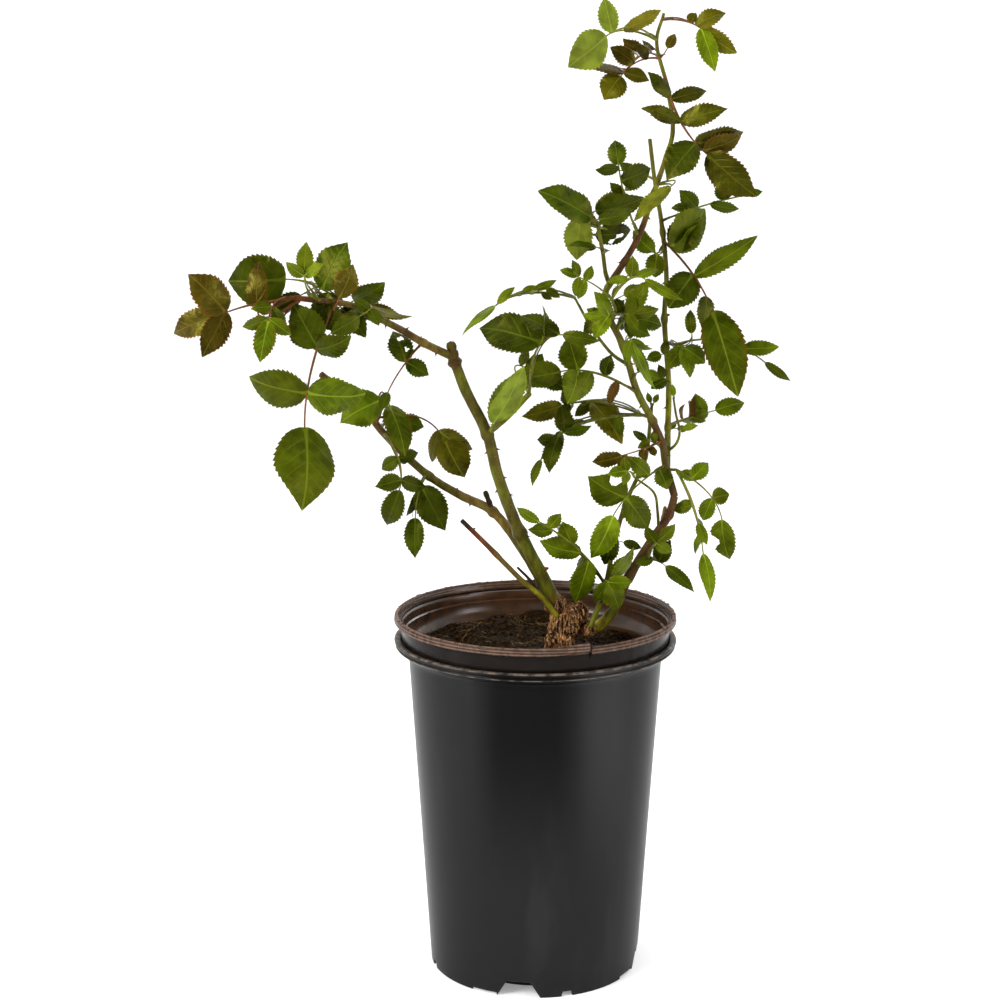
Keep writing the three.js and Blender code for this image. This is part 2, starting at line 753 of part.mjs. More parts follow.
function outerPot() {
  const mouth = INNER_BAND_RADIUS + NEST_GAP;
  const skirtRoof = SKIRT_HEIGHT - POT_WALL;
  const flangeUnder = OUTER_TOP - FLANGE_HEIGHT;
  let pot = turned([
    [0, 0],
    [FLOOR_RADIUS, 0],
    [FLOOR_RADIUS + 4, skirtRoof],
    [outerRadiusAt(SKIRT_HEIGHT) - POT_WALL, skirtRoof],
    [outerRadiusAt(0) - POT_WALL, 0],
    [outerRadiusAt(0), 0],
    [OUTER_NECK_RADIUS, OUTER_NECK],
    [mouth + POT_WALL, OUTER_NECK + 2],
    [mouth + POT_WALL, flangeUnder],
    [RIM_RADIUS - FLANGE_EDGE, flangeUnder],
    [RIM_RADIUS, flangeUnder + FLANGE_EDGE],
    [RIM_RADIUS, OUTER_TOP - FLANGE_EDGE],
    [RIM_RADIUS - FLANGE_EDGE, OUTER_TOP],
    [mouth, OUTER_TOP],
    [mouth, OUTER_NECK + NECK_STEP],
    [OUTER_NECK_RADIUS - POT_WALL, OUTER_NECK + 1],
    [outerRadiusAt(SKIRT_HEIGHT) - POT_WALL, SKIRT_HEIGHT],
    [FLOOR_RADIUS + 4 - POT_WALL, SKIRT_HEIGHT],
    [FLOOR_RADIUS - POT_WALL, POT_WALL],
    [0, POT_WALL],
  ]);
  for (const quarters of [0, 1, 2, 3])
    for (const cut of NOTCHES) pot = pot.subtract(notch(cut, quarters));
  return largest(pot);
}

function innerPot() {
  const shoulder = OUTER_NECK + NECK_STEP + NEST_GAP;
  const foot = SKIRT_HEIGHT + NEST_GAP;
  const within = (height) => outerRadiusAt(height) - POT_WALL - NEST_GAP;
  const lipUnder = INNER_TOP - LIP_HEIGHT;
  const pot = turned([
    [0, foot],
    [within(foot), foot],
    [within(OUTER_NECK), OUTER_NECK + 1],
    [INNER_BAND_RADIUS, shoulder],
    [INNER_BAND_RADIUS, lipUnder],
    [RIM_RADIUS - LIP_EDGE, lipUnder],
    [RIM_RADIUS, lipUnder + LIP_EDGE],
    [RIM_RADIUS, INNER_TOP - LIP_EDGE],
    [RIM_RADIUS - LIP_EDGE, INNER_TOP],
    [RIM_RADIUS - LIP_THICKNESS, INNER_TOP - 1],
    [RIM_RADIUS - LIP_THICKNESS, lipUnder - 1],
    [INNER_BAND_RADIUS - POT_WALL, lipUnder - LEDGE],
    [INNER_BAND_RADIUS - POT_WALL, shoulder + POT_WALL],
    [within(OUTER_NECK) - POT_WALL, OUTER_NECK + 1 + POT_WALL],
    [within(foot) - POT_WALL, foot + POT_WALL],
    [0, foot + POT_WALL],
  ]);
  const slit = new THREE.BoxGeometry(SLIT_WIDTH, 14, SLIT_DEPTH * 2);
  slit.translate(0, -RIM_RADIUS + 3, INNER_TOP);
  slit.rotateZ(THREE.MathUtils.degToRad(SLIT_TURN));
  return largest(pot.subtract(solidOf(slit)));
}

// The compost: filled to its rough top, which is level round the rootstock's foot.
function soilHeight(x, y) {
  const waves = Math.sin(x * 0.11 + 1.3) * Math.cos(y * 0.13 - 0.4) + 0.6 * Math.sin(x * 0.05 - y * 0.08 + 2);
  const away = Math.hypot(x - FOOT.x, y - FOOT.depth);
  const rough = THREE.MathUtils.smoothstep(away, 32, 48);
  const dip = SOIL_DIP * Math.exp(-(((x + 14) / 18) ** 2) - ((y + 30) / 26) ** 2);
  const bank = SOIL_BANK * THREE.MathUtils.smoothstep(y, 0, 70) * THREE.MathUtils.smoothstep(-x, -60, 20);
  return FOOT.height - GAP + rough * (SOIL_ROUGHNESS * (waves - 1) - dip + bank);
}

function compost() {
  const within = (height) => outerRadiusAt(height) - 2 * POT_WALL - 3 * NEST_GAP;
  const foot = SKIRT_HEIGHT + POT_WALL + 2 * NEST_GAP;
  const sectors = 28;
  const rings = 6;
  const points = [new THREE.Vector3(0, 0, foot), new THREE.Vector3(0, 0, soilHeight(0, 0))];
  const at = (ring, sector) => 2 + ring * sectors + (sector % sectors);
  const radii = [within(foot), within(OUTER_NECK - 8)];
  for (let ring = 1; ring < rings; ring++) radii.push(radii[1] * (1 - ring / rings));
  radii.forEach((radius, ring) => {
    for (let sector = 0; sector < sectors; sector++) {
      const turn = (2 * Math.PI * sector) / sectors;
      const x = radius * Math.cos(turn);
      const y = radius * Math.sin(turn);
      const edge = ring === 1 ? SOIL_LEVEL - 6 : soilHeight(x, y);
      points.push(new THREE.Vector3(x, y, ring ? edge : foot));
    }
  });
  const faces = [];
  for (let sector = 0; sector < sectors; sector++) {
    faces.push([0, at(0, sector + 1), at(0, sector)]);
    faces.push([1, at(rings, sector), at(rings, sector + 1)]);
    for (let ring = 0; ring < rings; ring++) {
      faces.push([at(ring, sector), at(ring, sector + 1), at(ring + 1, sector + 1)]);
      faces.push([at(ring, sector), at(ring + 1, sector + 1), at(ring + 1, sector)]);
    }
  }
  return solidFrom(points, faces);
}

// The rootstock: a flared foot and a knobby head, cut flat at the compost.
function rootstock(grow) {
  const path = [[20, 252, 0], [19.5, 258, 0], [20, 265, 0], [22.5, 274, 0], [26, 283, 0], [25, 289, 0]];
  const radii = [15.5, 12, 11, 12.5, 13.5, 9].map((radius) => radius + grow);
  const trunk = limb(through(path).points, radii, 11);
  const knobs = [
    [14, 290, -3, 7.5],
    [34, 284, 1, 8],
    [41, 271, -2, 6.5],
    [18, 281, 8, 7],
    [29, 272, -9, 6],
  ].map(([x, z, depth, radius]) => {
    const knob = new THREE.SphereGeometry(radius + grow, 8, 5).scale(1, 1, 1.15);
    const { x: across, y: back, z: up } = seen(x, z, depth);
    return solidOf(knob.translate(across, back, up));
  });
  const ground = new THREE.BoxGeometry(200, 200, 60).translate(0, 0, FOOT.height - 30 - grow);
  return wasm.Manifold.union([trunk, ...knobs]).subtract(solidOf(ground));
}

// A stretch of a cane, with prickles that turn round it and any cut stubs; grow widens it all round.
function caneSolid(cane, draw, grow) {
  const curve = through(cane.path);
  const enters = cane.enters ?? 1;
  const [foot, tip] = cane.width;
  const steps = Math.max(3, Math.round((curve.getLength() * enters) / CANE_STEP));
  const points = [];
  const radii = [];
  for (let i = 0; i <= steps; i++) {
    const share = (enters * i) / steps;
    points.push(curve.getPoint(share));
    radii.push((foot + (tip - foot) * share) / 2 + grow);
  }
  if (grow) {
    const past = curve.getTangent(enters).multiplyScalar(grow);
    points.push(points[points.length - 1].clone().add(past));
    radii.push(radii[radii.length - 1]);
  }
  const solids = [limb(points, radii, CANE_SIDES)];
  for (let i = 0; i < cane.prickles; i++) {
    const share = (enters * (i + 0.75 + spread(draw, 0.2))) / (cane.prickles + 0.5);
    const turn = spread(draw, Math.PI);
    const root = curve.getPoint(share);
    const along = curve.getTangent(share);
    const outward = new THREE.Vector3(Math.cos(turn), Math.sin(turn), 0);
    outward.addScaledVector(along, -outward.dot(along)).normalize();
    const radius = (foot + (tip - foot) * share) / 2;
    root.addScaledVector(outward, radius * 0.9);
    solids.push(prickle(root, outward, along, PRICKLE_SIZE + grow));
  }
  for (const stub of cane.stubs ?? []) {
    const base = curve.getPoint(nearest(curve, stub.from));
    const end = seen(...stub.to);
    const radius = stub.width / 2 + grow;
    solids.push(limb([base, base.clone().lerp(end, 0.5), end], [radius, radius, radius * 0.9], CANE_SIDES));
  }
  return wasm.Manifold.union(solids);
}

// A spray's stem: the rest of its cane, or a twig of its own.
function sprayStem(spray) {
  const cane = CANES[spray.after];
  if (spray.stem) {
    const curve = through(spray.stem);
    return { curve, from: spray.after ? GAP / curve.getLength() : 0, width: spray.width };
  }
  if (!cane) return null;
  const curve = through(cane.path);
  const [foot, tip] = cane.width;
  const from = cane.enters + GAP / curve.getLength();
  return { curve, from, width: [foot + (tip - foot) * from, tip] };
}

function stemSolid({ curve, from, width }) {
  const steps = Math.max(2, Math.round((curve.getLength() * (1 - from)) / CANE_STEP));
  const points = [];
  const radii = [];
  for (let i = 0; i <= steps; i++) {
    points.push(curve.getPoint(from + ((1 - from) * i) / steps));
    radii.push((width[0] + ((width[1] - width[0]) * i) / steps) / 2);
  }
  return limb(points, radii, 5);
}

// Assembly. Each piece is cut clear of the limbs before it, and a leaf that would still touch is left out.
const seats = [];
const finished = [];

function settle(name, solid, finish) {
  addPart(name, solid, finish);
  finished.push(solid);
}

settle("pot_outer", outerPot(), "pot");
settle("pot_inner", innerPot(), "inner");
settle("soil", compost(), "soil");
settle("rootstock", rootstock(0), "rootstock");
seats.push(rootstock(GAP));

Object.entries(CANES).forEach(([name, cane], i) => {
  const whole = caneSolid(cane, seeded(100 + i), 0);
  const clear = largest(seats.reduce((solid, seat) => solid.subtract(seat), whole));
  settle(name, clear, "cane");
  seats.push(caneSolid(cane, seeded(100 + i), GAP));
});

Object.entries(SPRAYS).forEach(([name, spray], i) => {
  const draw = seeded(500 + i);
  const stem = sprayStem(spray);
  const curve = stem ? stem.curve : through(CANES[spray.on].path);
  const trimmed = (solid) => seats.reduce((rest, seat) => rest.subtract(seat), solid);
  const pieces = stem ? [trimmed(stemSolid(stem))] : [];
  for (const row of spray.leaves) {
    const leaf = trimmed(compoundLeaf(row, curve, draw));
    if (!finished.some((other) => touches(leaf, other))) pieces.push(leaf);
  }
  const mass = largest(wasm.Manifold.union(pieces));
  settle(name, mass, "leaf");
});

export default plant;
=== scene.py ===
# A rose bush in two nested pots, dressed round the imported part: bark, leaves, prickles, compost and plastic.
# Lengths are in millimetres in the part's own frame; they turn into metres when an object is made.
import math

import bpy
import numpy as np
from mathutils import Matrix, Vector, noise


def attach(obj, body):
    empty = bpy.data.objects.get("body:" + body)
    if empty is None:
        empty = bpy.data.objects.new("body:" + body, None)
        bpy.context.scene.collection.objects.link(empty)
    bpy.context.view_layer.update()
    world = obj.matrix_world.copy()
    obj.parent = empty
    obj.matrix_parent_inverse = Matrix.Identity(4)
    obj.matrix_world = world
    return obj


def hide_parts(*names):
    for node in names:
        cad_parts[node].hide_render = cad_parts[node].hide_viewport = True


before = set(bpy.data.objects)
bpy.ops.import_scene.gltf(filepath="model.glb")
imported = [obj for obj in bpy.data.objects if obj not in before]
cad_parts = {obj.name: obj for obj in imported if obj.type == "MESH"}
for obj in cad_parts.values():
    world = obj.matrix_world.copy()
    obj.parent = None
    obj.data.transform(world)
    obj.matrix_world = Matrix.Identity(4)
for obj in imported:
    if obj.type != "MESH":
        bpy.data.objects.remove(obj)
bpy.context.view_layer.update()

METRE = 1000.0
UP = np.array([0.0, 0.0, 1.0])

# Pots
RIM_RADIUS = 110
POT_WALL = 1.6
OUTER_TOP = 265.6
OUTER_FOOT_RADIUS = 82.5
OUTER_NECK_RADIUS = 99
OUTER_NECK = 255
SKIRT_HEIGHT = 14
FLOOR_RADIUS = 60
INNER_TOP = 284.4
INNER_BAND_RADIUS = 104.5
LIP_HEIGHT = 6
NEST_GAP = 0.5
SLIT_TURN = 21
SLIT_WIDTH = 1.4
SLIT_DEPTH = 17
LEDGE = 269.2
# The skirt's drain notches, in each quarter: width at foot and top, height, and turn from the front.
NOTCHES = [(34, 18, 13, -9.4), (22, 22, 2, -29), (9, 7, 4, 17)]
# Edges that turn by more degrees than this stay crisp.
CRISP_FROM = 38
# Steps round each pot
OUTER_TURNS = 180
INNER_TURNS = 220

# Compost
SOIL_LEVEL = 253
SOIL_ROUGHNESS = 3.4
SOIL_DIP = 4
SOIL_BANK = 7

# What lies on the compost, and the rings and sectors of its surface
SOIL_RINGS = 92
SOIL_SECTORS = 250
LOOSE_CRUMBS = 2600
CHIP_SHARE = 0.16
RIM_CRUMBS = 900
LIP_SHARE = 0.7
FIBRES = 90
FIBRE_STEPS = 7

# Plant, by the same rule as the part's source. EYE is where the photo was taken from: aside, away and up.
GAP = 0.35
FOOT = (20, 0, SOIL_LEVEL + 1)
EYE = (-27.5, 1512, 675)
FANNING = 0.9
FANS_BETWEEN = (290, 420)
LEAN = 0.5
TWIST = 32
STALK_BEND = 0.42
JOINT_PITCH = 18
LENGTH_SPREAD = 0.03
AIM_SPREAD = 4
LEAST_DROOP = 0.08
MORE_DROOP = 0.14
SIDE_TURN = 75
PAIR_SHRINK = 0.8

# Leaf form
TOOTH_DEPTH = 1.5
TOOTH_PITCH = 4.6
TEETH = (6, 15)
DEEPEST_NOTCH = 0.17
BLADE_HALF_THICKNESS = 0.13
RIB_DEPTH = 0.4
VEINS = 7
HOLES = 5

# Stalks and stems: a stalk's radius, the distance between its rings of points and the points in a ring, the
# reach of the wings at its foot, and a stem's width against its solid's and the points in its rings
STALK_RADIUS = 0.55
STALK_PITCH = 3
STALK_SIDES = 8
STIPULE_LENGTH = 9.0
STEM_SHARE = 0.92
STEM_SIDES = 10

# Canes: distance between rings of points and points in a ring, a stray prickle's length, and a stub's rings
# and the points in each
CANE_PITCH = 1.6
CANE_SIDES = 14
STRAY_SIZE = 3.6
STUB_RINGS = 12
STUB_SIDES = 12

# Rootstock: points in a ring of its body and of its knobs, and how finely and smoothly they melt together
STOCK_SIDES = 24
KNOB_SIDES = 18
MELT_GRAIN = 0.45
MELT_ROUNDS = 8

# Leaves behind those of the front view: how much further off they are and how far they turn, their size and
# that of their stalks, and the length and depth of the leaves that have them
BEHIND = [(18, 62), (32, -56)]
BEHIND_SIZE = 0.8
BEHIND_STALK = 0.85
BACKED_LENGTH = 16
BACKED_DEPTH = 25

# Studio, in metres and watts: the camera's lens and sensor in millimetres and its tilt down in degrees, the
# glow of floor and air, the point the lights aim at, and the soft boxes with place, size and power
LENS = 72
SENSOR = 36
CAMERA_TILT = 11.287
FLOOR_GLOW = 0.24
AIR_GLOW = 0.12
AIMED_AT = (0, 0, 0.38)
SOFT_BOXES = [
    ("key", (-1.7, -1.3, 1.5), 1.0, 62), ("fill", (1.8, -1.0, 0.7), 0.8, 18),
    ("top", (0.1, 0.3, 2.6), 1.8, 28), ("back", (0.9, 1.6, 1.5), 1.0, 13),
]

# Steps that measure a curve, and those that search it
LENGTH_STEPS = 200
SEARCH_STEPS = 240

# Seeds
CANE_SEED = 100
SPRAY_SEED = 500
BLADE_SEED = 9000
CRUMB_SEED = 77
FIBRE_SEED = 31


# Seeded draws

def seeded(seed):
    """The part's own generator, so that leaves fall where its solids do."""
    whole = 0xFFFFFFFF
    state = seed & whole

    def draw():
        nonlocal state
        state = (state + 0x6D2B79F5) & whole
        mixed = ((state ^ (state >> 15)) * (state | 1)) & whole
        mixed = ((mixed + (((mixed ^ (mixed >> 7)) * (mixed | 61)) & whole)) & whole) ^ mixed
        return (mixed ^ (mixed >> 14)) / (whole + 1)

    return draw


def spread(draw, width):
    return (draw() - 0.5) * 2 * width


def smoothstep(value, low, high):
    share = np.clip((value - low) / (high - low), 0, 1)
    return share * share * (3 - 2 * share)


def unit(vector):
    return vector / np.linalg.norm(vector)


def turned_about(vector, axis, angle):
    """The vector, turned about a unit axis by an angle in radians."""
    cosine, sine = math.cos(angle), math.sin(angle)
    return vector * cosine + np.cross(axis, vector) * sine + axis * axis.dot(vector) * (1 - cosine)


# Curves in front view

def seen(x, z, depth):
    """The point that a front view sees at x, z on the plane through the pot's axis, put at a depth."""
    away = depth * (1 + FANNING * float(smoothstep(z, *FANS_BETWEEN)))
    wider = 1 + away / EYE[1]
    return np.array([EYE[0] + (x - EYE[0]) * wider, away, EYE[2] + (z - EYE[2]) * wider])


class Curve:
    """A curve with a point for each share from 0 to 1."""

    def heading(self, share):
        return unit(self.at(min(share + 1e-4, 1)) - self.at(max(share - 1e-4, 0)))

    def length(self):
        points = np.array([self.at(i / LENGTH_STEPS) for i in range(LENGTH_STEPS + 1)])
        return float(np.linalg.norm(np.diff(points, axis=0), axis=1).sum())


class Spline(Curve):
    """A centripetal Catmull-Rom curve through its points."""

    def __init__(self, places):
        inner = [seen(*place) for place in places]
        self.points = [2 * inner[0] - inner[1]] + inner + [2 * inner[-1] - inner[-2]]
        self.spans = len(inner) - 1

    def at(self, share):
        span = min(int(share * self.spans), self.spans - 1)
        along = share * self.spans - span
        p0, p1, p2, p3 = self.points[span : span + 4]
        d0, d1, d2 = (math.sqrt(np.linalg.norm(b - a)) for a, b in ((p0, p1), (p1, p2), (p2, p3)))
        leaves = ((p1 - p0) / d0 - (p2 - p0) / (d0 + d1) + (p2 - p1) / d1) * d1
        arrives = ((p2 - p1) / d1 - (p3 - p1) / (d1 + d2) + (p3 - p2) / d2) * d1
        square = 3 * (p2 - p1) - 2 * leaves - arrives
        cube = 2 * (p1 - p2) + leaves + arrives
        return p1 + along * (leaves + along * (square + along * cube))


class Arch(Curve):
    """A quadratic Bezier curve."""

    def __init__(self, start, bend, finish):
        self.points = start, bend, finish

    def at(self, share):
        start, bend, finish = self.points
        rest = 1 - share
        return rest * rest * start + 2 * rest * share * bend + share * share * finish


def nearest(curve, place):
    """The share of a curve where it passes nearest to a place in front view."""
    samples = np.array([curve.at(i / SEARCH_STEPS) for i in range(SEARCH_STEPS + 1)])
    wider = 1 + samples[:, 1] / EYE[1]
    across = EYE[0] + (samples[:, 0] - EYE[0]) / wider - place[0]
    up = EYE[2] + (samples[:, 2] - EYE[2]) / wider - place[1]
    return int(np.argmin(np.hypot(across, up))) / SEARCH_STEPS


def heading(degrees, lean):
    """A way in front view, that leans back by a share of its length."""
    turn = math.radians(degrees)
    return np.array([math.cos(turn), lean, math.sin(turn)])


# Meshes

class Pile:
    """Points and faces gathered until they become one object."""

    def __init__(self):
        self.points = []
        self.faces = []
        self.finishes = []
        self.values = []
        self.names = []

    def add(self, points, faces, finish, value):
        """value is one triple for all the points, or one for each: a place on a leaf, or a colour."""
        first = sum(len(p) for p in self.points)
        if finish not in self.names:
            self.names.append(finish)
        self.points.append(np.asarray(points, float))
        self.faces.extend([tuple(first + v for v in face) for face in faces])
        self.finishes.extend([self.names.index(finish)] * len(faces))
        self.values.append(np.broadcast_to(np.asarray(value, float), (len(points), 3)))

    def become(self, name, slot, nodes, attribute):
        """One smooth-shaded object that rides on the part and stands for its nodes."""
        mesh = bpy.data.meshes.new(name)
        mesh.from_pydata(np.concatenate(self.points) / METRE, [], self.faces)
        for finish in self.names:
            mesh.materials.append(bpy.data.materials[finish])
        mesh.polygons.foreach_set("material_index", self.finishes)
        mesh.polygons.foreach_set("use_smooth", [True] * len(self.faces))
        values = mesh.attributes.new(attribute, "FLOAT_VECTOR", "POINT")
        values.data.foreach_set("vector", np.concatenate(self.values).astype(np.float32).ravel())
        piece = bpy.data.objects.new(name, mesh)
        bpy.context.scene.collection.objects.link(piece)
        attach(piece, "root")
        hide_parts(*nodes)
        return piece


def ring_faces(rings, sides, closed=True):
    """Quads between rings of points, each ring laid anticlockwise seen against its travel."""
    faces = []
    for i in range(rings - 1):
        for k in range(sides if closed else sides - 1):
            a = i * sides + k
            b = i * sides + (k + 1) % sides
            faces.append((a, b, b + sides, a + sides))
    return faces


def tube(points, radii, sides, relief=None):
    """Points and faces of a limb with rounded ends; relief gives each ring's share of extra radius."""
    points = np.asarray(points, float)
    radii = np.asarray(radii, float)
    before = points[[0] + list(range(len(points) - 1))]
    after = points[list(range(1, len(points))) + [len(points) - 1]]
    along = (after - before) / np.linalg.norm(after - before, axis=1)[:, None]
    start = np.array([0.0, 1.0, 0.0]) if abs(along[0][1]) < 0.9 else np.array([1.0, 0.0, 0.0])
    side = unit(np.cross(start, along[0]))
    turns = 2 * math.pi * np.arange(sides) / sides
    rings = []
    for i, point in enumerate(points):
        side = unit(side - along[i] * side.dot(along[i]))
        other = np.cross(along[i], side)
        radius = radii[i] * (np.ones(sides) if relief is None else 1 + relief[i])
        rings.append(point + np.outer(radius * np.cos(turns), side) + np.outer(radius * np.sin(turns), other))
    tips = [points[0] - along[0] * radii[0] * 0.4, points[-1] + along[-1] * radii[-1] * 0.4]
    faces = ring_faces(len(points), sides)
    last = (len(points) - 1) * sides
    low, high = len(points) * sides, len(points) * sides + 1
    for k in range(sides):
        faces.append((low, (k + 1) % sides, k))
        faces.append((high, last + k, last + (k + 1) % sides))
    return np.concatenate(rings + [np.array(tips)]), faces


def rough(point, scale, seed):
    """Smooth noise of about one in size, at a scale in millimetres."""
    return noise.noise(Vector((point[0] / scale + seed, point[1] / scale - seed, point[2] / scale)))


# Finishes

class Finish:
    """A material and the nodes that feed its one surface."""

    def __init__(self, name, roughness, specular, sheen=(1, 1, 1)):
        self.material = bpy.data.materials.new(name)
        self.material.use_nodes = True
        self.tree = self.material.node_tree
        self.surface = self.tree.nodes["Principled BSDF"]
        self.surface.inputs["Roughness"].default_value = roughness
        self.surface.inputs["Specular IOR Level"].default_value = specular
        self.surface.inputs["Specular Tint"].default_value = (*sheen, 1)
        self.place = self.node("ShaderNodeTexCoord").outputs["Object"]

    def node(self, kind, **settings):
        made = self.tree.nodes.new(kind)
        for key, value in settings.items():
            setattr(made, key, value)
        return made

    def feed(self, socket, value):
        if isinstance(value, bpy.types.NodeSocket):
            self.tree.links.new(value, socket)
        elif isinstance(value, tuple) and len(value) == 3 and socket.type == "RGBA":
            socket.default_value = (*value, 1)
        else:
            socket.default_value = value

    def maths(self, operation, *values):
        made = self.node("ShaderNodeMath", operation=operation)
        for socket, value in zip(made.inputs, values):
            self.feed(socket, value)
        return made.outputs[0]

    def mix(self, share, a, b):
        made = self.node("ShaderNodeMix", data_type="RGBA")
        self.feed(made.inputs[0], share)
        self.feed(made.inputs[6], a)
        self.feed(made.inputs[7], b)
        return made.outputs[2]

    def ramp(self, value, low, high, to_low=0.0, to_high=1.0):
        made = self.node("ShaderNodeMapRange", interpolation_type="SMOOTHSTEP")
        for name, number in (("Value", value), ("From Min", low), ("From Max", high),
                             ("To Min", to_low), ("To Max", to_high)):
            self.feed(made.inputs[name], number)
        return made.outputs[0]

    def noise(self, grain, detail, stretch=(1, 1, 1), distortion=0.0):
        """Noise from 0 to 1 whose grain is in millimetres."""
        mapped = self.node("ShaderNodeMapping")
        self.feed(mapped.inputs["Vector"], self.place)
        mapped.inputs["Scale"].default_value = [METRE / grain * s for s in stretch]
        made = self.node("ShaderNodeTexNoise")
        self.feed(made.inputs["Vector"], mapped.outputs[0])
        made.inputs["Scale"].default_value = 1.0
        made.inputs["Detail"].default_value = detail
        made.inputs["Distortion"].default_value = distortion
        return made.outputs["Fac"]

    def split(self, attribute):
        given = self.node("ShaderNodeAttribute", attribute_name=attribute)
        parts = self.node("ShaderNodeSeparateXYZ")
        self.feed(parts.inputs[0], given.outputs["Vector"])
        return given.outputs["Vector"], *parts.outputs

    def places(self):
        """The place on the part, in metres, as three numbers."""
        parts = self.node("ShaderNodeSeparateXYZ")
        self.feed(parts.inputs[0], self.place)
        return parts.outputs

    def times(self, *values):
        product = values[0]
        for value in values[1:]:
            product = self.maths("MULTIPLY", product, value)
        return product

    def paint(self, colour):
        self.feed(self.surface.inputs["Base Color"], colour)

    def gloss(self, roughness):
        self.feed(self.surface.inputs["Roughness"], roughness)

    def bump(self, height, millimetres):
        made = self.node("ShaderNodeBump")
        made.inputs["Strength"].default_value = 1.0
        made.inputs["Distance"].default_value = millimetres / METRE
        self.feed(made.inputs["Height"], height)
        self.feed(self.surface.inputs["Normal"], made.outputs[0])


def leaf_finish(name, colour, vein, edge, roughness, relief):
    """A leaf surface: mottled, with a pale midrib and side veins, and a margin of another colour."""
    f = Finish(name, roughness, 0.22, (1, 0.9, 0.1))
    _, along, across, tint = f.split("leaf")
    across = f.maths("ABSOLUTE", across)
    breadth = f.maths("SINE", f.times(along, math.pi))
    outward = f.times(across, breadth)
    rib = f.ramp(outward, 0.012, 0.05, 1, 0)
    order = f.maths("SUBTRACT", f.times(along, VEINS), f.times(outward, 2.3))
    between = f.maths("ABSOLUTE", f.maths("SUBTRACT", f.maths("FRACT", order), 0.5))
    side_vein = f.times(f.ramp(between, 0.42, 0.5), f.ramp(across, 0.6, 0.95, 1, 0))
    lines = f.maths("MAXIMUM", rib, f.times(side_vein, 0.36))
    mottle = f.ramp(f.noise(11, 5), 0.3, 0.72)
    dark = tuple(0.46 * c for c in colour)
    body = f.mix(mottle, dark, tuple(1.12 * c for c in colour))
    body = f.mix(f.times(lines, 0.75), body, vein)
    body = f.mix(f.ramp(across, 0.8, 1.0, 0, 0.85), body, edge)
    shade = f.node("ShaderNodeHueSaturation")
    f.feed(shade.inputs["Value"], f.maths("MULTIPLY_ADD", tint, 0.74, 0.62))
    f.feed(shade.inputs["Hue"], f.maths("MULTIPLY_ADD", tint, 0.016, 0.492))
    f.feed(shade.inputs["Color"], body)
    f.paint(shade.outputs[0])
    f.gloss(f.maths("MULTIPLY_ADD", mottle, 0.14, roughness - 0.07))
    cells = f.times(f.noise(0.8, 2), 0.4)
    f.bump(f.maths("SUBTRACT", cells, f.times(lines, relief)), 0.3)


def bark_finish(name, roughness, grain, relief):
    """Bark or green rind whose colour comes from the limb, streaked along it and flecked."""
    f = Finish(name, roughness, 0.16, (1, 0.85, 0.5))
    colour, *_ = f.split("tone")
    streaks = f.ramp(f.noise(grain, 5, (1, 1, 0.35)), 0.32, 0.68)
    flecks = f.ramp(f.noise(grain * 0.3, 3), 0.6, 0.7)
    patches = f.ramp(f.noise(grain * 2.6, 3, (1, 1, 0.5)), 0.5, 0.62)
    body = f.mix(streaks, f.mix(0.55, colour, (0.018, 0.008, 0.002)), colour)
    body = f.mix(f.times(patches, 0.45), body, (0.055, 0.024, 0.007))
    body = f.mix(f.times(flecks, 0.4), body, (0.20, 0.15, 0.05))
    f.paint(body)
    f.gloss(f.ramp(streaks, 0, 1, roughness + 0.12, roughness - 0.05))
    f.bump(f.maths("ADD", streaks, f.noise(grain * 0.25, 3)), relief)


def old_bark_finish():
    """The rootstock's cracked and flaking bark."""
    f = Finish("stock_bark", 0.85, 0.05)
    colour, *_ = f.split("tone")
    flakes = f.ramp(f.noise(2.0, 6, (1, 1, 0.35), 0.8), 0.42, 0.62)
    cracks = f.ramp(f.noise(3.6, 6, (1, 1, 0.3), 1.2), 0.38, 0.5)
    grit = f.ramp(f.noise(0.7, 3), 0.55, 0.7)
    body = f.mix(flakes, f.mix(0.6, colour, (0.03, 0.010, 0.002)), colour)
    body = f.mix(cracks, (0.014, 0.006, 0.002), body)
    body = f.mix(f.times(grit, 0.6), body, (0.85, 0.52, 0.27))
    f.paint(body)
    f.bump(f.maths("ADD", cracks, f.times(flakes, 0.7)), 1.6)


def soil_finish(name, dark, pale):
    """Compost, damp in places, between two colours."""
    roughness = 0.7
    f = Finish(name, roughness, 0.06, (1, 0.75, 0.5))
    lumps = f.ramp(f.noise(3.0, 6), 0.38, 0.7)
    specks = f.ramp(f.noise(0.8, 3), 0.64, 0.7)
    body = f.mix(lumps, dark, pale)
    body = f.mix(f.times(specks, 0.3), body, (0.15, 0.095, 0.03))
    f.paint(body)
    f.gloss(f.ramp(f.noise(1.6, 2), 0.4, 0.6, roughness - 0.35, roughness + 0.2))
    f.bump(f.maths("ADD", lumps, f.noise(0.8, 4)), 0.9)


def plastic(name, colour, roughness, specular, worn):
    """Moulded plastic, a little scuffed: the finish and its colour, for dirt to be laid over."""
    f = Finish(name, roughness, specular)
    scuffs = f.ramp(f.noise(26, 5, (1, 1, 0.22)), 0.5, 0.78, 0, worn)
    body = f.mix(scuffs, colour, tuple(c + 0.02 for c in colour))
    f.gloss(f.maths("MULTIPLY_ADD", scuffs, 0.35, roughness))
    f.bump(f.times(f.noise(2.4, 3), 0.1), 0.2)
    return f, body


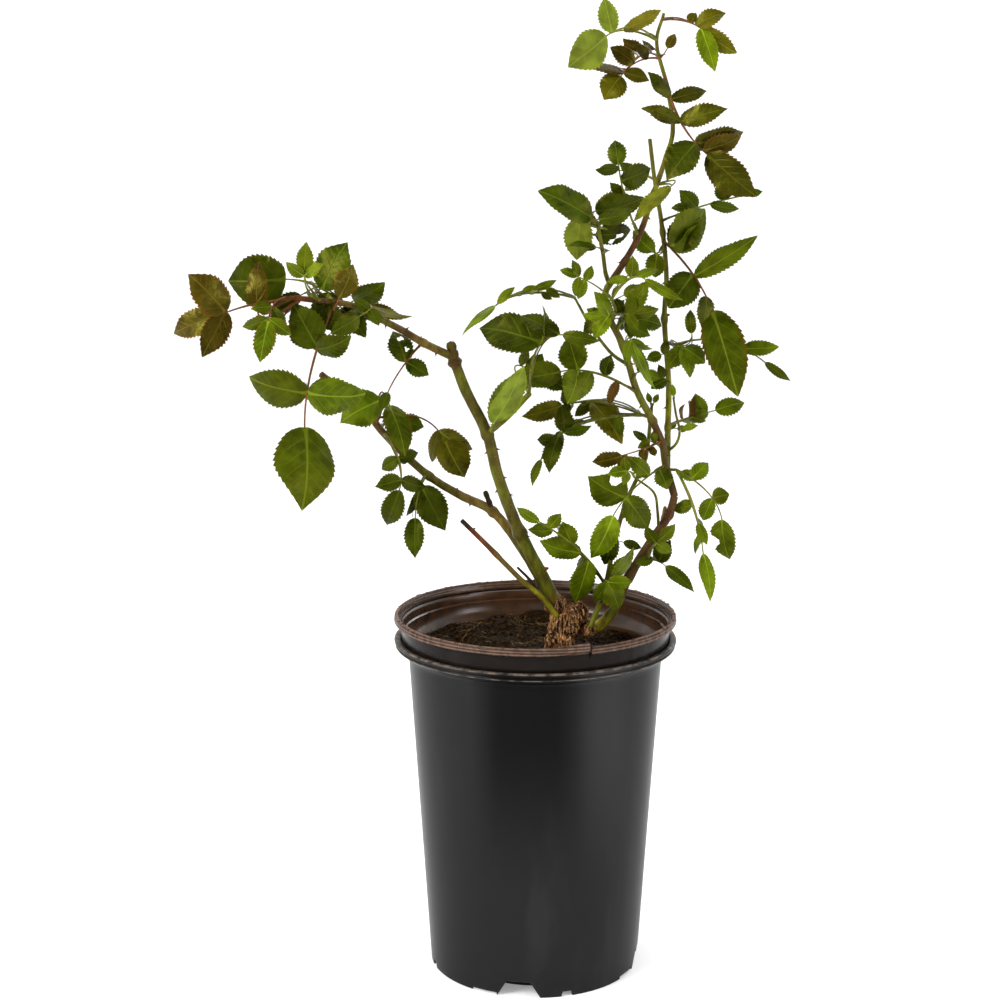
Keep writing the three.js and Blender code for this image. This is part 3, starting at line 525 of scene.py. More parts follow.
def outer_plastic_finish():
    """Black plastic: painted darker down the middle of its front and lighter to its right, as reflections, and
    pale along its flange, partly from wear and partly as painted highlight.
    """
    f, body = plastic("outer_plastic", (0.0125, 0.0125, 0.0127), 0.3, 0.05, 0.25)
    x, y, z = f.places()
    front = f.times(f.ramp(y, -0.03, -0.01, 1, 0), f.ramp(z, 0.07, 0.225))
    # Painted reflections: a dark band down the middle of the front, with less specular there, and a lighter
    # band to its right.
    painted_dark_reflection = f.times(front, f.ramp(x, -0.052, -0.027), f.ramp(x, 0.012, 0.042, 1, 0))
    painted_light_reflection = f.times(front, f.ramp(x, 0.026, 0.05), f.ramp(x, 0.056, 0.08, 1, 0))
    body = f.mix(painted_dark_reflection, body, (0.004, 0.004, 0.004))
    body = f.mix(f.times(painted_light_reflection, 0.8), body, (0.028, 0.028, 0.028))
    # Painted highlight along the flange: pale lines on its top and on its lower ridge, broken up by patchy
    # wear.
    worn = f.ramp(f.noise(7, 5), 0.42, 0.6, 0.1, 0.75)
    upper = f.ramp(z, (OUTER_TOP - 1.6) / METRE, (OUTER_TOP - 0.9) / METRE)
    lower = f.times(f.ramp(z, (OUTER_TOP - 6.6) / METRE, (OUTER_TOP - 6.1) / METRE),
                    f.ramp(z, (OUTER_TOP - 5.4) / METRE, (OUTER_TOP - 4.9) / METRE, 1, 0))
    f.paint(f.mix(f.times(worn, f.maths("MAXIMUM", upper, lower)), body, (0.15, 0.115, 0.09)))
    f.feed(f.surface.inputs["Specular IOR Level"], f.maths("MULTIPLY_ADD", painted_dark_reflection, -0.02, 0.05))


def inner_plastic_finish():
    """Black outside, brown with wet compost inside, and dirty along the lip, with painted groove shading."""
    f, body = plastic("inner_plastic", (0.006, 0.004, 0.003), 0.26, 0.08, 0.3)
    x, y, z = f.places()
    away = f.maths("SQRT", f.maths("ADD", f.times(x, x), f.times(y, y)))
    under = INNER_TOP - LIP_HEIGHT
    wider = f.ramp(z, (under - 0.9) / METRE, under / METRE, INNER_BAND_RADIUS - 0.5, RIM_RADIUS - 3.3)
    inside = f.ramp(f.maths("SUBTRACT", f.times(wider, 1 / METRE), away), -0.0002, 0.0003)
    film = f.ramp(f.noise(14, 5), 0.2, 0.75, 0.35, 1)
    body = f.mix(f.times(inside, film), body, (0.06, 0.025, 0.009))
    on_lip = f.times(f.ramp(z, (under - 0.3) / METRE, (under + 0.4) / METRE), f.ramp(inside, 0, 1, 1, 0.35))
    soil = f.ramp(f.noise(5, 6), 0.4, 0.6)
    # Painted light and shade of grooves: light and dark lines round the lip in its dirt colour.
    painted_groove_lines = f.ramp(f.maths("SINE", f.times(z, 6.283 * METRE / 2.1)), -0.3, 0.9, 0.25, 1)
    share = f.times(on_lip, painted_groove_lines, f.maths("MULTIPLY_ADD", soil, 0.4, 0.6))
    f.paint(f.mix(share, body, (0.16, 0.094, 0.065)))
    f.gloss(f.maths("MULTIPLY_ADD", share, 0.3, 0.22))
    f.feed(f.surface.inputs["Specular IOR Level"], f.maths("MULTIPLY_ADD", inside, 0.3, 0.08))
    f.bump(f.maths("ADD", f.times(soil, on_lip), f.times(f.noise(1.2, 4), 0.3)), 0.3)


# Leaf tones: top, underside, vein, margin and stalk colours, roughness, and how far the blades fold up
GREEN_STALK = (0.115, 0.13, 0.008)
RED_STALK = (0.15, 0.042, 0.010)
TONES = {
    "green": dict(top=(0.0533, 0.0778, 0.0011), under=(0.153, 0.17, 0.0085), vein=(0.135, 0.175, 0.008),
                  edge=(0.062, 0.072, 0.002), stalk=GREEN_STALK, rough=0.38, fold=0.16),
    "gloss": dict(top=(0.0461, 0.0706, 0.0013), under=(0.1445, 0.17, 0.0085), vein=(0.14, 0.185, 0.010),
                  edge=(0.095, 0.034, 0.003), stalk=RED_STALK, rough=0.2, fold=0.2),
    "dark": dict(top=(0.0238, 0.0382, 0.0007), under=(0.0935, 0.1105, 0.0051), vein=(0.072, 0.098, 0.005),
                 edge=(0.034, 0.034, 0.001), stalk=GREEN_STALK, rough=0.33, fold=0.24),
    "deep": dict(top=(0.0324, 0.0346, 0.001), under=(0.102, 0.0978, 0.0059), vein=(0.09, 0.09, 0.006),
                 edge=(0.062, 0.024, 0.003), stalk=RED_STALK, rough=0.25, fold=0.2),
    "olive": dict(top=(0.0648, 0.0605, 0.0014), under=(0.1615, 0.1445, 0.0085), vein=(0.15, 0.14, 0.008),
                  edge=(0.09, 0.045, 0.004), stalk=RED_STALK, rough=0.34, fold=0.22),
    "bronze": dict(top=(0.0432, 0.0288, 0.0022), under=(0.119, 0.0731, 0.0085), vein=(0.10, 0.07, 0.007),
                   edge=(0.10, 0.026, 0.005), stalk=RED_STALK, rough=0.26, fold=0.2),
    "young": dict(top=(0.059, 0.0756, 0.0018), under=(0.1445, 0.1445, 0.0085), vein=(0.15, 0.165, 0.010),
                  edge=(0.15, 0.032, 0.006), stalk=RED_STALK, rough=0.2, fold=0.34),
    "light": dict(top=(0.0828, 0.1188, 0.0022), under=(0.1275, 0.1615, 0.0153), vein=(0.20, 0.25, 0.012),
                  edge=(0.12, 0.15, 0.004), stalk=(0.18, 0.19, 0.012), rough=0.36, fold=0.22),
    "dry": dict(top=(0.0684, 0.0288, 0.0072), under=(0.1275, 0.0638, 0.017), vein=(0.16, 0.085, 0.02),
                edge=(0.05, 0.022, 0.006), stalk=RED_STALK, rough=0.7, fold=1.1),
}

# Rind and bark colours
RINDS = {
    "yellow": (0.2805, 0.2465, 0.0102),
    "lime": (0.1615, 0.17, 0.0085),
    "green": (0.0978, 0.1062, 0.0051),
    "olive": (0.0748, 0.0663, 0.0059),
    "ochre": (0.1445, 0.0978, 0.0153),
    "brown": (0.0595, 0.0306, 0.0068),
    "purple": (0.0723, 0.0255, 0.0085),
    "red": (0.17, 0.0357, 0.0085),
    "dark": (0.0187, 0.0119, 0.0043),
    "black": (0.0051, 0.0034, 0.0026),
    "tan": (0.289, 0.1615, 0.051),
    "thorn": (0.1105, 0.0382, 0.0136),
}

# Canes: path in front view with its depth, rinds from foot to tip, diameter at foot and tip, and the number
# of stray prickles, which reach up to the share named enters, where a mass takes over. Then what the front
# view shows: node swellings (x, z, size), prickles (x, z, way in degrees), buds (x, z, way, size), and stubs
# (start, end, diameter, rind).
CANES = {
    "cane_left": dict(
        path=[(17, 290, -5), (4, 316, -8), (-12, 347, -10), (-29, 392, -10), (-37, 424, -8),
              (-54, 459, -10), (-64, 486, -12)],
        rinds="ochre green green olive green olive olive green brown",
        width=(10.2, 7.6), strays=7, nodes=[(-12, 347, 1.8), (-37, 424, 1.3), (-62, 480, 2.6)],
        prickles=[(-29, 413, 15), (-37, 411, 170), (-31, 389, -5), (-30, 380, 175), (-27, 375, 5),
                  (-9, 344, -20)],
        buds=[(-62, 484, 60, 5), (5, 318, 20, 5)],
        stubs=[((-61, 478), (-65, 495, -13), 8, "olive")],
    ),
    "cane_arch": dict(
        path=[(-63, 484, -12), (-84, 494, -20), (-101, 504, -26), (-118, 513, -32), (-138, 523, -40),
              (-165, 527, -50), (-183, 529, -56)],
        rinds="olive ochre brown olive ochre brown red",
        width=(6.2, 3.8), enters=0.52, strays=4, nodes=[(-86, 495, 0.7), (-119, 513, 0.8)],
        prickles=[(-99, 505, 75), (-116, 505, -105), (-120, 518, 85), (-76, 488, -110)],
    ),
    "cane_low_left": dict(
        path=[(17, 284, 6), (5, 308, 14), (-10, 334, 20), (-33, 364, 24), (-58, 377, 28), (-82, 392, 28),
              (-118, 427, 24), (-133, 447, 20), (-164, 471, 14)],
        rinds="green olive ochre olive brown brown",
        width=(8.5, 5), enters=0.58, strays=4, nodes=[(-33, 364, 1.2), (-82, 392, 1.0)],
        prickles=[(-59, 384, 100), (-51, 369, -80), (-20, 345, 110)],
        stubs=[((-33, 364), (-39, 380, 22), 4.6, "black")],
    ),
    "cane_cut": dict(
        path=[(17, 281, -8), (4, 297, -15), (-10, 309, -18), (-38, 338, -20), (-57, 357, -22)],
        rinds="yellow yellow yellow ochre red black",
        width=(4.6, 3.6), strays=3, nodes=[(-30, 331, 0.5)],
        prickles=[(-47, 351, 130), (-41, 345, -45), (-30, 331, 130)],
    ),
    "twig_dead": dict(
        path=[(10, 284, -2), (-3, 308, 6), (-14, 320, 9)],
        rinds="dark dark black",
        width=(3.2, 1.8), strays=0, nodes=[(-3, 308, 0.4)],
    ),
    "cane_inner": dict(
        path=[(43, 272, -9), (54, 303, -4), (61, 340, 9), (70, 372, 14), (84, 406, 15), (88, 442, 13)],
        rinds="green green olive green green",
        width=(4.4, 2.8), strays=4, nodes=[(61, 340, 0.7), (84, 406, 0.6)],
        prickles=[(66, 356, 200), (78, 392, 20)],
    ),
    "cane_right_lower": dict(
        path=[(40, 268, 2), (52, 275, 2), (62, 288, 0), (72, 311, 0), (89, 340, 2), (103, 362, 4),
              (107, 376, 5)],
        rinds="yellow yellow green brown brown purple brown",
        width=(9, 6), strays=4, nodes=[(103, 362, 1.2), (74, 313, 0.8)],
        prickles=[(84, 330, -30), (66, 296, 140)],
        buds=[(78, 321, 150, 4)],
        stubs=[((96, 352), (100, 368, 8), 3.2, "tan")],
    ),
    "cane_right_upper": dict(
        path=[(107, 376, 5), (100, 400, 6), (97, 417, 5), (88, 437, 3), (77, 458, 0), (66, 492, -4),
              (51, 525, -7), (53, 536, -8)],
        rinds="brown olive brown green green olive green",
        width=(6, 4.8), strays=5, nodes=[(98, 417, 1.0), (89, 435, 1.4), (66, 492, 0.8), (52, 530, 1.0)],
        prickles=[(97, 408, 0), (83, 448, 190), (71, 478, 10), (57, 512, 190)],
        buds=[(77, 457, 120, 4)],
    ),
    "cane_crown": dict(
        path=[(53, 536, -8), (66, 556, -10), (77, 576, -13), (87, 606, -17), (96, 633, -21),
              (101, 653, -24), (96, 686, -28), (88, 718, -31), (93, 738, -35)],
        rinds="green purple purple lime lime green green green green",
        width=(5.2, 2.2), enters=0.4, strays=5, nodes=[(66, 556, 0.7), (87, 606, 0.7)],
        prickles=[(85, 589, -10), (77, 595, 170), (64, 555, 170), (88, 606, 20)],
    ),
    "cane_spine": dict(
        path=[(101, 398, 8), (101, 430, 14), (101, 464, 17), (97, 513, 20), (98, 545, 22), (94, 583, 24),
              (88, 617, 25), (84, 647, 27)],
        rinds="green lime lime green green green green",
        width=(5, 3), enters=0.6, strays=4, nodes=[(97, 513, 1.2), (101, 430, 0.8), (95, 578, 1.0)],
        prickles=[(100, 475, 5), (97, 540, 180), (101, 445, 175)],
        buds=[(97, 515, 20, 3.5)],
    ),
}


def leaf(tone, at, to, aim, end, *more, **others):
    """A leaf of a mass: at is where it leaves its stem, to where its end leaflet begins, and aim the way that
    one points. more holds further leaflets as (share of the stalk, way, length, width, tilt). others may say
    at which spots pairs of side leaflets sit, the tones of single leaflets, bites, holes and the tilt.
    """
    return {"tone": tone, "at": at, "to": to, "aim": aim, "end": end, "more": more, **others}


# Masses: the leaves of each in front view, on a cane or on a stem of their own. The finer ones fill it out
# behind and between the others.
SPRAYS = {
    "foliage_arch": dict(on="cane_arch", leaves=[
        leaf("bronze", (-183, 529), (-240, 516, -66), -158, (39, 20), (0.9, 132, 36, 24),
             (0.9, -116, 34, 20)),
        leaf("dark", (-146, 525), (-189, 543, -50), 180, (42, 38), (0.35, 60, 39, 27),
             (0.25, -110, 30, 19)),
        leaf("bronze", (-178, 529), (-211, 520, -62), 92, (34, 16)),
        leaf("gloss", (-183, 529), (-203, 512, -78), -100, (30, 16), open=62, spots=[0.7, 0.97],
             side=(19, 11)),
        leaf("green", (-152, 524), (-177, 430, -62), -90, (53, 40), (0.34, 122, 36, 26), (0.35, 18, 27, 19),
             stalk="red", tones={2: "dark"}, open=94, spots=[0.7], side=(42, 29)),
        leaf("bronze", (-151, 526), (-149, 529, -66), 66, (25, 17)),
        leaf("gloss", (-140, 523), (-138, 527, -22), 33, (27, 19)),
        leaf("olive", (-131, 519), (-125, 523, -54), -19, (31, 12), tilt=34),
        leaf("dark", (-138, 522), (-134, 515, -66), -150, (22, 16), spots=[0.7], side=(13, 9)),
        leaf("light", (-163, 527), (-175, 549, -66), 86, (20, 13), open=58, spots=[0.9], side=(16, 10)),
    ], finer=[
        leaf("dark", (-160, 527), (-163, 527, -40), -62, (27, 19)),
        leaf("dark", (-150, 526), (-147, 521, -34), -48, (26, 17)),
        leaf("dark", (-172, 528), (-178, 531, -42), -150, (24, 14)),
    ]),
    "spray_arch": dict(on="cane_arch", leaves=[
        leaf("dark", (-87, 494), (-113, 457, -24), -114, (14, 9), (0.38, 112, 25, 18), (0.38, -33, 19, 14),
             stalk="red", holed=[0]),
    ]),
    "foliage_low_left": dict(on="cane_low_left", leaves=[
        leaf("green", (-128, 441), (-118, 451, 0), -152, (35, 28)),
        leaf("gloss", (-121, 433), (-112, 447, -8), -72, (37, 20)),
        leaf("dark", (-118, 427), (-104, 435, 42), -14, (20, 16)),
        leaf("dark", (-117, 426), (-105, 381, 4), -106, (32, 19), spots=[0.45, 0.82], side=(20, 15)),
        leaf("olive", (-124, 436), (-70, 420, 50), -63, (36, 28), (0.85, -100, 29, 11),
             (0.85, -28, 32, 20)),
        leaf("dark", (-84, 394), (-93, 359, 12), -92, (31, 17), (0.3, -112, 30, 8), (0.3, -63, 37, 26)),
    ]),
    "foliage_middle": dict(stem=[(-36, 426, -8), (-21, 439, -18), (-5, 456, -26)], width=(5.6, 4.4),
        leaves=[
        leaf("light_under", (-27, 434), (-33, 433, -30), 63, (50, 27), tilt=42),
        leaf("dark", (-5, 456), (20, 501, -40), -5, (27, 11), (0.6, 165, 48, 28), (0.62, 86, 29, 12, 62),
             (0.95, 156, 31, 14)),
    ], finer=[
        leaf("dark", (-4, 460), (4, 470, -6), -30, (22, 15), (0.7, 60, 16, 12)),
    ]),
    "spray_middle_right": dict(on="cane_right_upper", leaves=[
        leaf("green", (77, 455), (19, 473, -12), -169, (36, 23), (0.42, 78, 17, 12), (0.6, -128, 24, 16),
             (0.26, -108, 21, 9, 40), tones={2: "dark"}, open=72, dry=[4], spots=[0.77], side=(25, 23)),
    ]),
    "spray_middle_low": dict(stem=[(89, 437, 3), (80, 440, 4)], width=(3.4, 2.6), leaves=[
        leaf("dark", (80, 440), (20, 447, 22), -165, (32, 17), (0.6, -52, 37, 20), (0.62, -138, 16, 10),
             (0.93, 100, 16, 10), (0.9, -120, 14, 9), tones={0: "olive", 4: "olive"}),
        leaf("dark", (82, 439), (4, 405, 8), -110, (20, 7), (0.6, 98, 20, 16), (0.68, -106, 27, 15),
             (0.62, 18, 22, 10), (0.74, 182, 14, 12), (0.16, -80, 15, 9), tones={5: "light"}),
    ]),
    "foliage_centre": dict(stem=[(57, 513, -6), (60, 518, -16), (57, 528, -28)], width=(3.2, 2.2), leaves=[
        leaf("light", (60, 518), (54, 516, -22), 178, (19, 9), open=60, spots=[0.9], side=(21, 12)),
        leaf("green", (60, 518), (70, 517, -20), 6, (22, 12), (1, 64, 28, 15), open=62, spots=[0.9],
             side=(14, 9)),
        leaf("green", (57, 528), (31, 545, -38), 160, (14, 7), (0.98, 112, 13, 7), (0.8, 70, 12, 8),
             (0.82, -105, 15, 9), (0.97, -98, 14, 8)),
        leaf("light", (57, 528), (82, 543, -40), -32, (30, 8), (0.5, 185, 16, 7), (0.6, 90, 17, 10),
             (0.8, 22, 16, 7)),
    ], finer=[
        leaf("dark", (60, 518), (77, 513, -4), -18, (20, 15), (0.8, -96, 17, 12), (0.75, 74, 14, 10)),
        leaf("dark", (57, 528), (66, 531, -14), 28, (15, 10), (0.6, -60, 12, 9)),
    ]),
    "spray_inside_right": dict(on="cane_right_upper", leaves=[
        leaf("light", (68, 486), (73, 495, -16), -64, (38, 13), tilt=58, open=40, spots=[0.9],
             side=(17, 9)),
    ], finer=[
        leaf("green", (75, 464), (82, 472, -10), -20, (13, 9), (0.7, 70, 11, 7)),
        leaf("green", (97, 414), (85, 421, 2), 150, (12, 7), (0.5, 90, 10, 6), (0.8, -150, 11, 7)),
        leaf("dark", (62, 502), (70, 510, -12), -30, (18, 13), (0.8, 60, 16, 12)),
        leaf("dark", (56, 516), (49, 512, -10), -140, (16, 12), (0.6, 150, 15, 10)),
    ]),
    "foliage_plume": dict(stem=[(70, 478, -3), (57, 487, 6), (41, 508, 14), (29, 529, 10)],
        width=(3.2, 2.2), leaves=[
        leaf("green", (29, 529), (-31, 523, -22), -142, (33, 8), (0.97, 42, 18, 7), (0.66, 26, 11, 5),
             (0.5, 24, 18, 7), (0.36, -34, 12, 7), tones={0: "light", 4: "light"}, tilt=40),
    ]),
    "foliage_crown_left": dict(stem=[(55, 539, -9), (52, 548, -13), (50, 562, -19), (46, 582, -25)],
        width=(3.8, 3), leaves=[
        leaf("dark", (46, 582), (41, 589, -34), 153, (43, 22), tilt=62),
        leaf("light_under", (46, 582), (43, 587, -16), 160, (34, 14), tilt=68),
        leaf("dark", (46, 582), (44, 594, -26), 19, (37, 20)),
        leaf("dark", (46, 582), (46, 588, -40), 11, (26, 14), tilt=20),
        leaf("dark", (47, 576), (44, 577, -14), 7, (28, 18), holed=[0]),
        leaf("light_under", (46, 582), (33, 589, -34), -91, (31, 22)),
        leaf("dark", (50, 563), (45, 567, -34), 172, (21, 10), tilt=44),
    ]),
    "foliage_crown_top": dict(on="cane_crown", leaves=[
        leaf("light_under", (88, 719), (51, 722, -52), -146, (34, 26), (0.9, 104, 25, 15),
             (0.6, 29, 25, 12, 68), tones={1: "olive"}),
        leaf("olive", (92, 706), (62, 693, -12), -127, (21, 21), (0.25, 143, 15, 9), (0.6, 148, 22, 14),
             (0.92, 170, 29, 12, 30), (0.92, -17, 20, 11), tones={0: "bronze", 1: "bronze", 2: "bronze"}),
        leaf("olive", (92, 733), (121, 727, -46), -34, (30, 14), (0.97, -68, 32, 15), (0.85, 22, 23, 13),
             (0.7, 62, 9, 6), tones={0: "light"}),
        leaf("deep", (94, 694), (127, 636, -42), -38, (45, 25), (0.22, 136, 25, 10), (0.24, 10, 28, 11, 12),
             (0.5, 163, 30, 11, 10), (0.5, 15, 33, 16), (0.8, 12, 36, 20), (0.8, -128, 33, 23),
             (0.93, 18, 29, 16), tones={0: "dark", 5: "dark", 6: "bronze"}),
        leaf("green_under", (90, 613), (100, 612, -34), -140, (36, 14), tilt=34),
        leaf("bronze", (92, 706), (96, 713, -36), 62, (12, 8)),
    ]),
    "spray_crown_inner": dict(on="cane_crown", leaves=[
        leaf("dark", (77, 575), (61, 628, -26), 97, (18, 15), (0.55, 136, 16, 9), (0.95, 178, 18, 9),
             (0.78, 20, 24, 19)),
    ]),
    "foliage_spine": dict(on="cane_spine", leaves=[
        leaf("gloss", (95, 571), (133, 519, 2), -70, (67, 33), (0.1, 45, 41, 30), (0.52, 34, 55, 17, 24),
             (0.5, -125, 31, 26), (0.8, -100, 24, 15),
             tones={0: "green", 1: "green", 2: "dark", 3: "dark"}),
        leaf("dark", (93, 587), (158, 606, 40), 10, (12, 7), (0.4, 134, 20, 15), (0.38, 182, 19, 9),
             (0.55, -12, 24, 10), (0.74, 111, 17, 16)),
        leaf("green", (88, 617), (60, 624, 34), 182, (17, 8), (0.5, 150, 16, 9), (0.35, -135, 18, 12)),
        leaf("green", (96, 570), (88, 564, 12), 138, (22, 15), (0.9, 118, 24, 8), (0.8, -92, 20, 16),
             tones={1: "light"}),
    ]),
    "spray_low_right": dict(on="cane_spine", leaves=[
        leaf("green", (101, 431), (137, 443, 24), 14, (25, 14), (0.8, 124, 18, 10), (0.85, -160, 17, 10),
             (0.55, 92, 17, 6), (0.5, -20, 12, 7), dry=[2]),
    ], finer=[
        leaf("dark", (101, 460), (94, 469, 10), 172, (13, 10), (0.6, -150, 13, 10), (0.75, 112, 12, 8)),
        leaf("green", (101, 480), (95, 486, 12), -160, (12, 9), (0.7, 90, 12, 8)),
        leaf("green", (101, 424), (108, 429, 22), -8, (9, 6), (0.6, 60, 8, 5)),
    ]),
    "spray_under": dict(stem=[(98, 496, 19), (104, 493, 12)], width=(2.8, 2.2), leaves=[
        leaf("green", (104, 493), (112, 491, 2), -38, (20, 16), (0.95, -124, 20, 15), (0.9, -74, 23, 12),
             tones={1: "light"}),
        leaf("light", (104, 493), (118, 502, 6), 96, (18, 9)),
        leaf("green", (104, 493), (174, 480, 48), -38, (27, 8), (0.75, 2, 27, 14), (0.5, -55, 30, 12)),
    ]),
    "spray_big_low": dict(on="cane_right_upper", leaves=[
        leaf("green", (100, 401), (60, 361, -14), -118, (37, 22), (0.25, 137, 23, 14), (0.68, 147, 34, 29),
             (0.68, -57, 34, 22), (0.1, -66, 17, 15), tones={4: "light"}, bitten={1: 0.45}),
    ]),
    "spray_bronze_low": dict(on="cane_right_upper", leaves=[
        leaf("bronze", (96, 419), (66, 408, -8), -165, (23, 14), (0.9, -100, 15, 10), (0.5, -80, 9, 6),
             (0.3, -60, 9, 6)),
    ]),
    "spray_outer_low": dict(stem=[(101, 397, 6), (108, 397, 0)], width=(3, 2.4), leaves=[
        leaf("green", (108, 397), (144, 358, -22), -77, (33, 19), (0.22, 39, 18, 13), (0.62, -108, 20, 13),
             (0.62, 12, 14, 14), (0.06, -25, 14, 9), bitten={4: 0.5}),
        leaf("light", (108, 397), (130, 331, 10), -84, (37, 12), (0.4, 205, 15, 10),
             (0.75, -100, 17, 7, 40), (0.62, -66, 19, 9)),
    ]),
    "shoot_small": dict(stem=[(101, 411, 11), (108, 418, 8), (110, 427, 7), (107, 440, 6), (105, 452, 6)],
        width=(2.6, 1.7), leaves=[
        leaf("light", (110, 427), (113, 429, 2), 20, (11, 6)),
        leaf("light", (105, 452), (105, 454, 5), 100, (9, 5)),
    ]),
    "spray_inner_tip": dict(stem=[(88, 442, 13), (88.5, 447, 13)], width=(3.1, 2.4), leaves=[
        leaf("light", (88.5, 447), (87.5, 449, 13), 112, (9, 5)),
        leaf("light", (88.5, 447), (90, 449, 11), 62, (8, 5)),
    ]),
    "spray_inner_low": dict(on="cane_inner", leaves=[
        leaf("green", (55, 305), (3, 356, -44), 150, (20, 9), (0.86, 182, 19, 11), (0.9, 50, 14, 11),
             (0.62, 118, 20, 16), (0.5, 166, 33, 19), (0.38, -104, 38, 20)),
    ], finer=[
        leaf("dark", (62, 340), (60, 345, 4), -108, (24, 16)),
        leaf("dark", (60, 335), (68, 340, 2), -20, (15, 8)),
    ]),
    "spray_foot": dict(stem=[(50, 291, -6), (56, 299, -22)], width=(3, 2.2), leaves=[
        leaf("green", (56, 299), (57, 307, -38), -66, (23, 18), open=66, spots=[0.9], side=(19, 13)),
        leaf("light", (56, 299), (59, 311, -36), 52, (28, 14), tilt=24),
    ]),
    "spray_right_foot": dict(stem=[(80, 326, 1), (88, 327, -5)], width=(3, 2.2), leaves=[
        leaf("dark", (88, 327), (101, 321, -10), -41, (29, 10), (0.2, -165, 14, 8), (0.5, 62, 20, 13)),
        leaf("green", (88, 327), (95, 341, -20), 40, (18, 11), open=80, spots=[0.9], side=(16, 10)),
    ]),
    "shoot_fork": dict(stem=[(95, 352, 3), (94, 365, -4), (91, 379, -10), (76, 391, -14)], width=(2.8, 1.8),
        leaves=[
        leaf("light", (76, 391), (69, 396, -16), 190, (14, 9), spots=[0.9], side=(11, 8)),
    ]),
}


# Leaves

def compound_leaf(row, curve, draw):
    """One leaf by the part's rule: its rachis, and each leaflet's base, tip, width, facing and droop."""
    start = curve.at(nearest(curve, row["at"]))
    finish = seen(*row["to"])
    pull = np.linalg.norm(finish - start) * STALK_BEND
    rachis = Arch(start, finish - heading(row["aim"], 0) * pull, finish)
    steps = max(2, math.floor(rachis.length() / JOINT_PITCH + 0.5))
    joints = [rachis.at(i / steps) for i in range(steps + 1)]
    leaflets = []

    def place(spot, degrees, length, width, turned):
        lean = spread(draw, LEAN)
        seen_length = length * (1 + spread(draw, LENGTH_SPREAD))
        reach = heading(degrees + spread(draw, AIM_SPREAD), lean) * seen_length
        before = min(int(spot * steps), steps - 1)
        share = spot * steps - before
        base = joints[before] * (1 - share) + joints[before + 1] * share
        twist = math.radians(spread(draw, TWIST))
        along = unit(reach)
        front = np.array([0.0, -1.0, 0.0])
        facing = turned_about(unit(front - along * front.dot(along)), along, math.radians(turned) + twist)
        droop = LEAST_DROOP + MORE_DROOP * draw()
        leaflets.append((rachis.at(spot), base + reach, width / math.cos(twist), facing, droop))

    spots = row.get("spots", [])
    tilt = row.get("tilt", 0)
    for i, spot in enumerate(spots):
        tangent = rachis.heading(spot)
        grown = PAIR_SHRINK ** (len(spots) - 1 - i)
        along = math.degrees(math.atan2(tangent[2], tangent[0]))
        for hand in (-1, 1):
            length, width = row["side"]
            turn = hand * row.get("open", SIDE_TURN)
            place(spot, along + turn, length * grown, width * grown, tilt)
    for spot, degrees, length, width, *turned in row["more"]:
        place(spot, degrees, length, width, turned[0] if turned else 0)
    place(1, row["aim"], *row["end"], tilt)
    return rachis, leaflets


def half_breadth(share, fullness, point):
    """A leaflet's half breadth, from 0 to 1, at a share of its length: it is blunter at its base."""
    return np.sin(math.pi * share**0.84) ** (fullness + point * smoothstep(share, 0.45, 1))


COLUMNS = np.array([-1, -0.62, -0.3, 0, 0.3, 0.62, 1])
FINE_COLUMNS = np.array([
    -1, -0.88, -0.75, -0.62, -0.5, -0.38, -0.25, -0.12, 0, 0.15, 0.3, 0.45, 0.62, 0.8, 1,
])


def pierce(shares, columns, fine):
    """Holes in a blade: points near a hole's edge are drawn onto it. Gives how far out each point is."""
    depth = np.full(shares.shape, 9.0)
    for _ in range(HOLES):
        middle = 0.25 + 0.55 * fine(), -0.75 + 0.9 * fine()
        reach = 0.035 + 0.05 * fine(), 0.10 + 0.14 * fine()
        away = np.hypot((shares - middle[0]) / reach[0], (columns - middle[1]) / reach[1])
        near = (away > 0.5) & (away < 1.45) & (np.abs(columns) < 1)
        pull = np.where(near, 1 / np.maximum(away, 0.1), 1)
        shares[:] = middle[0] + (shares - middle[0]) * pull
        columns[:] = middle[1] + (columns - middle[1]) * pull
        depth = np.minimum(depth, np.where(near, 1.0, away))
    return depth


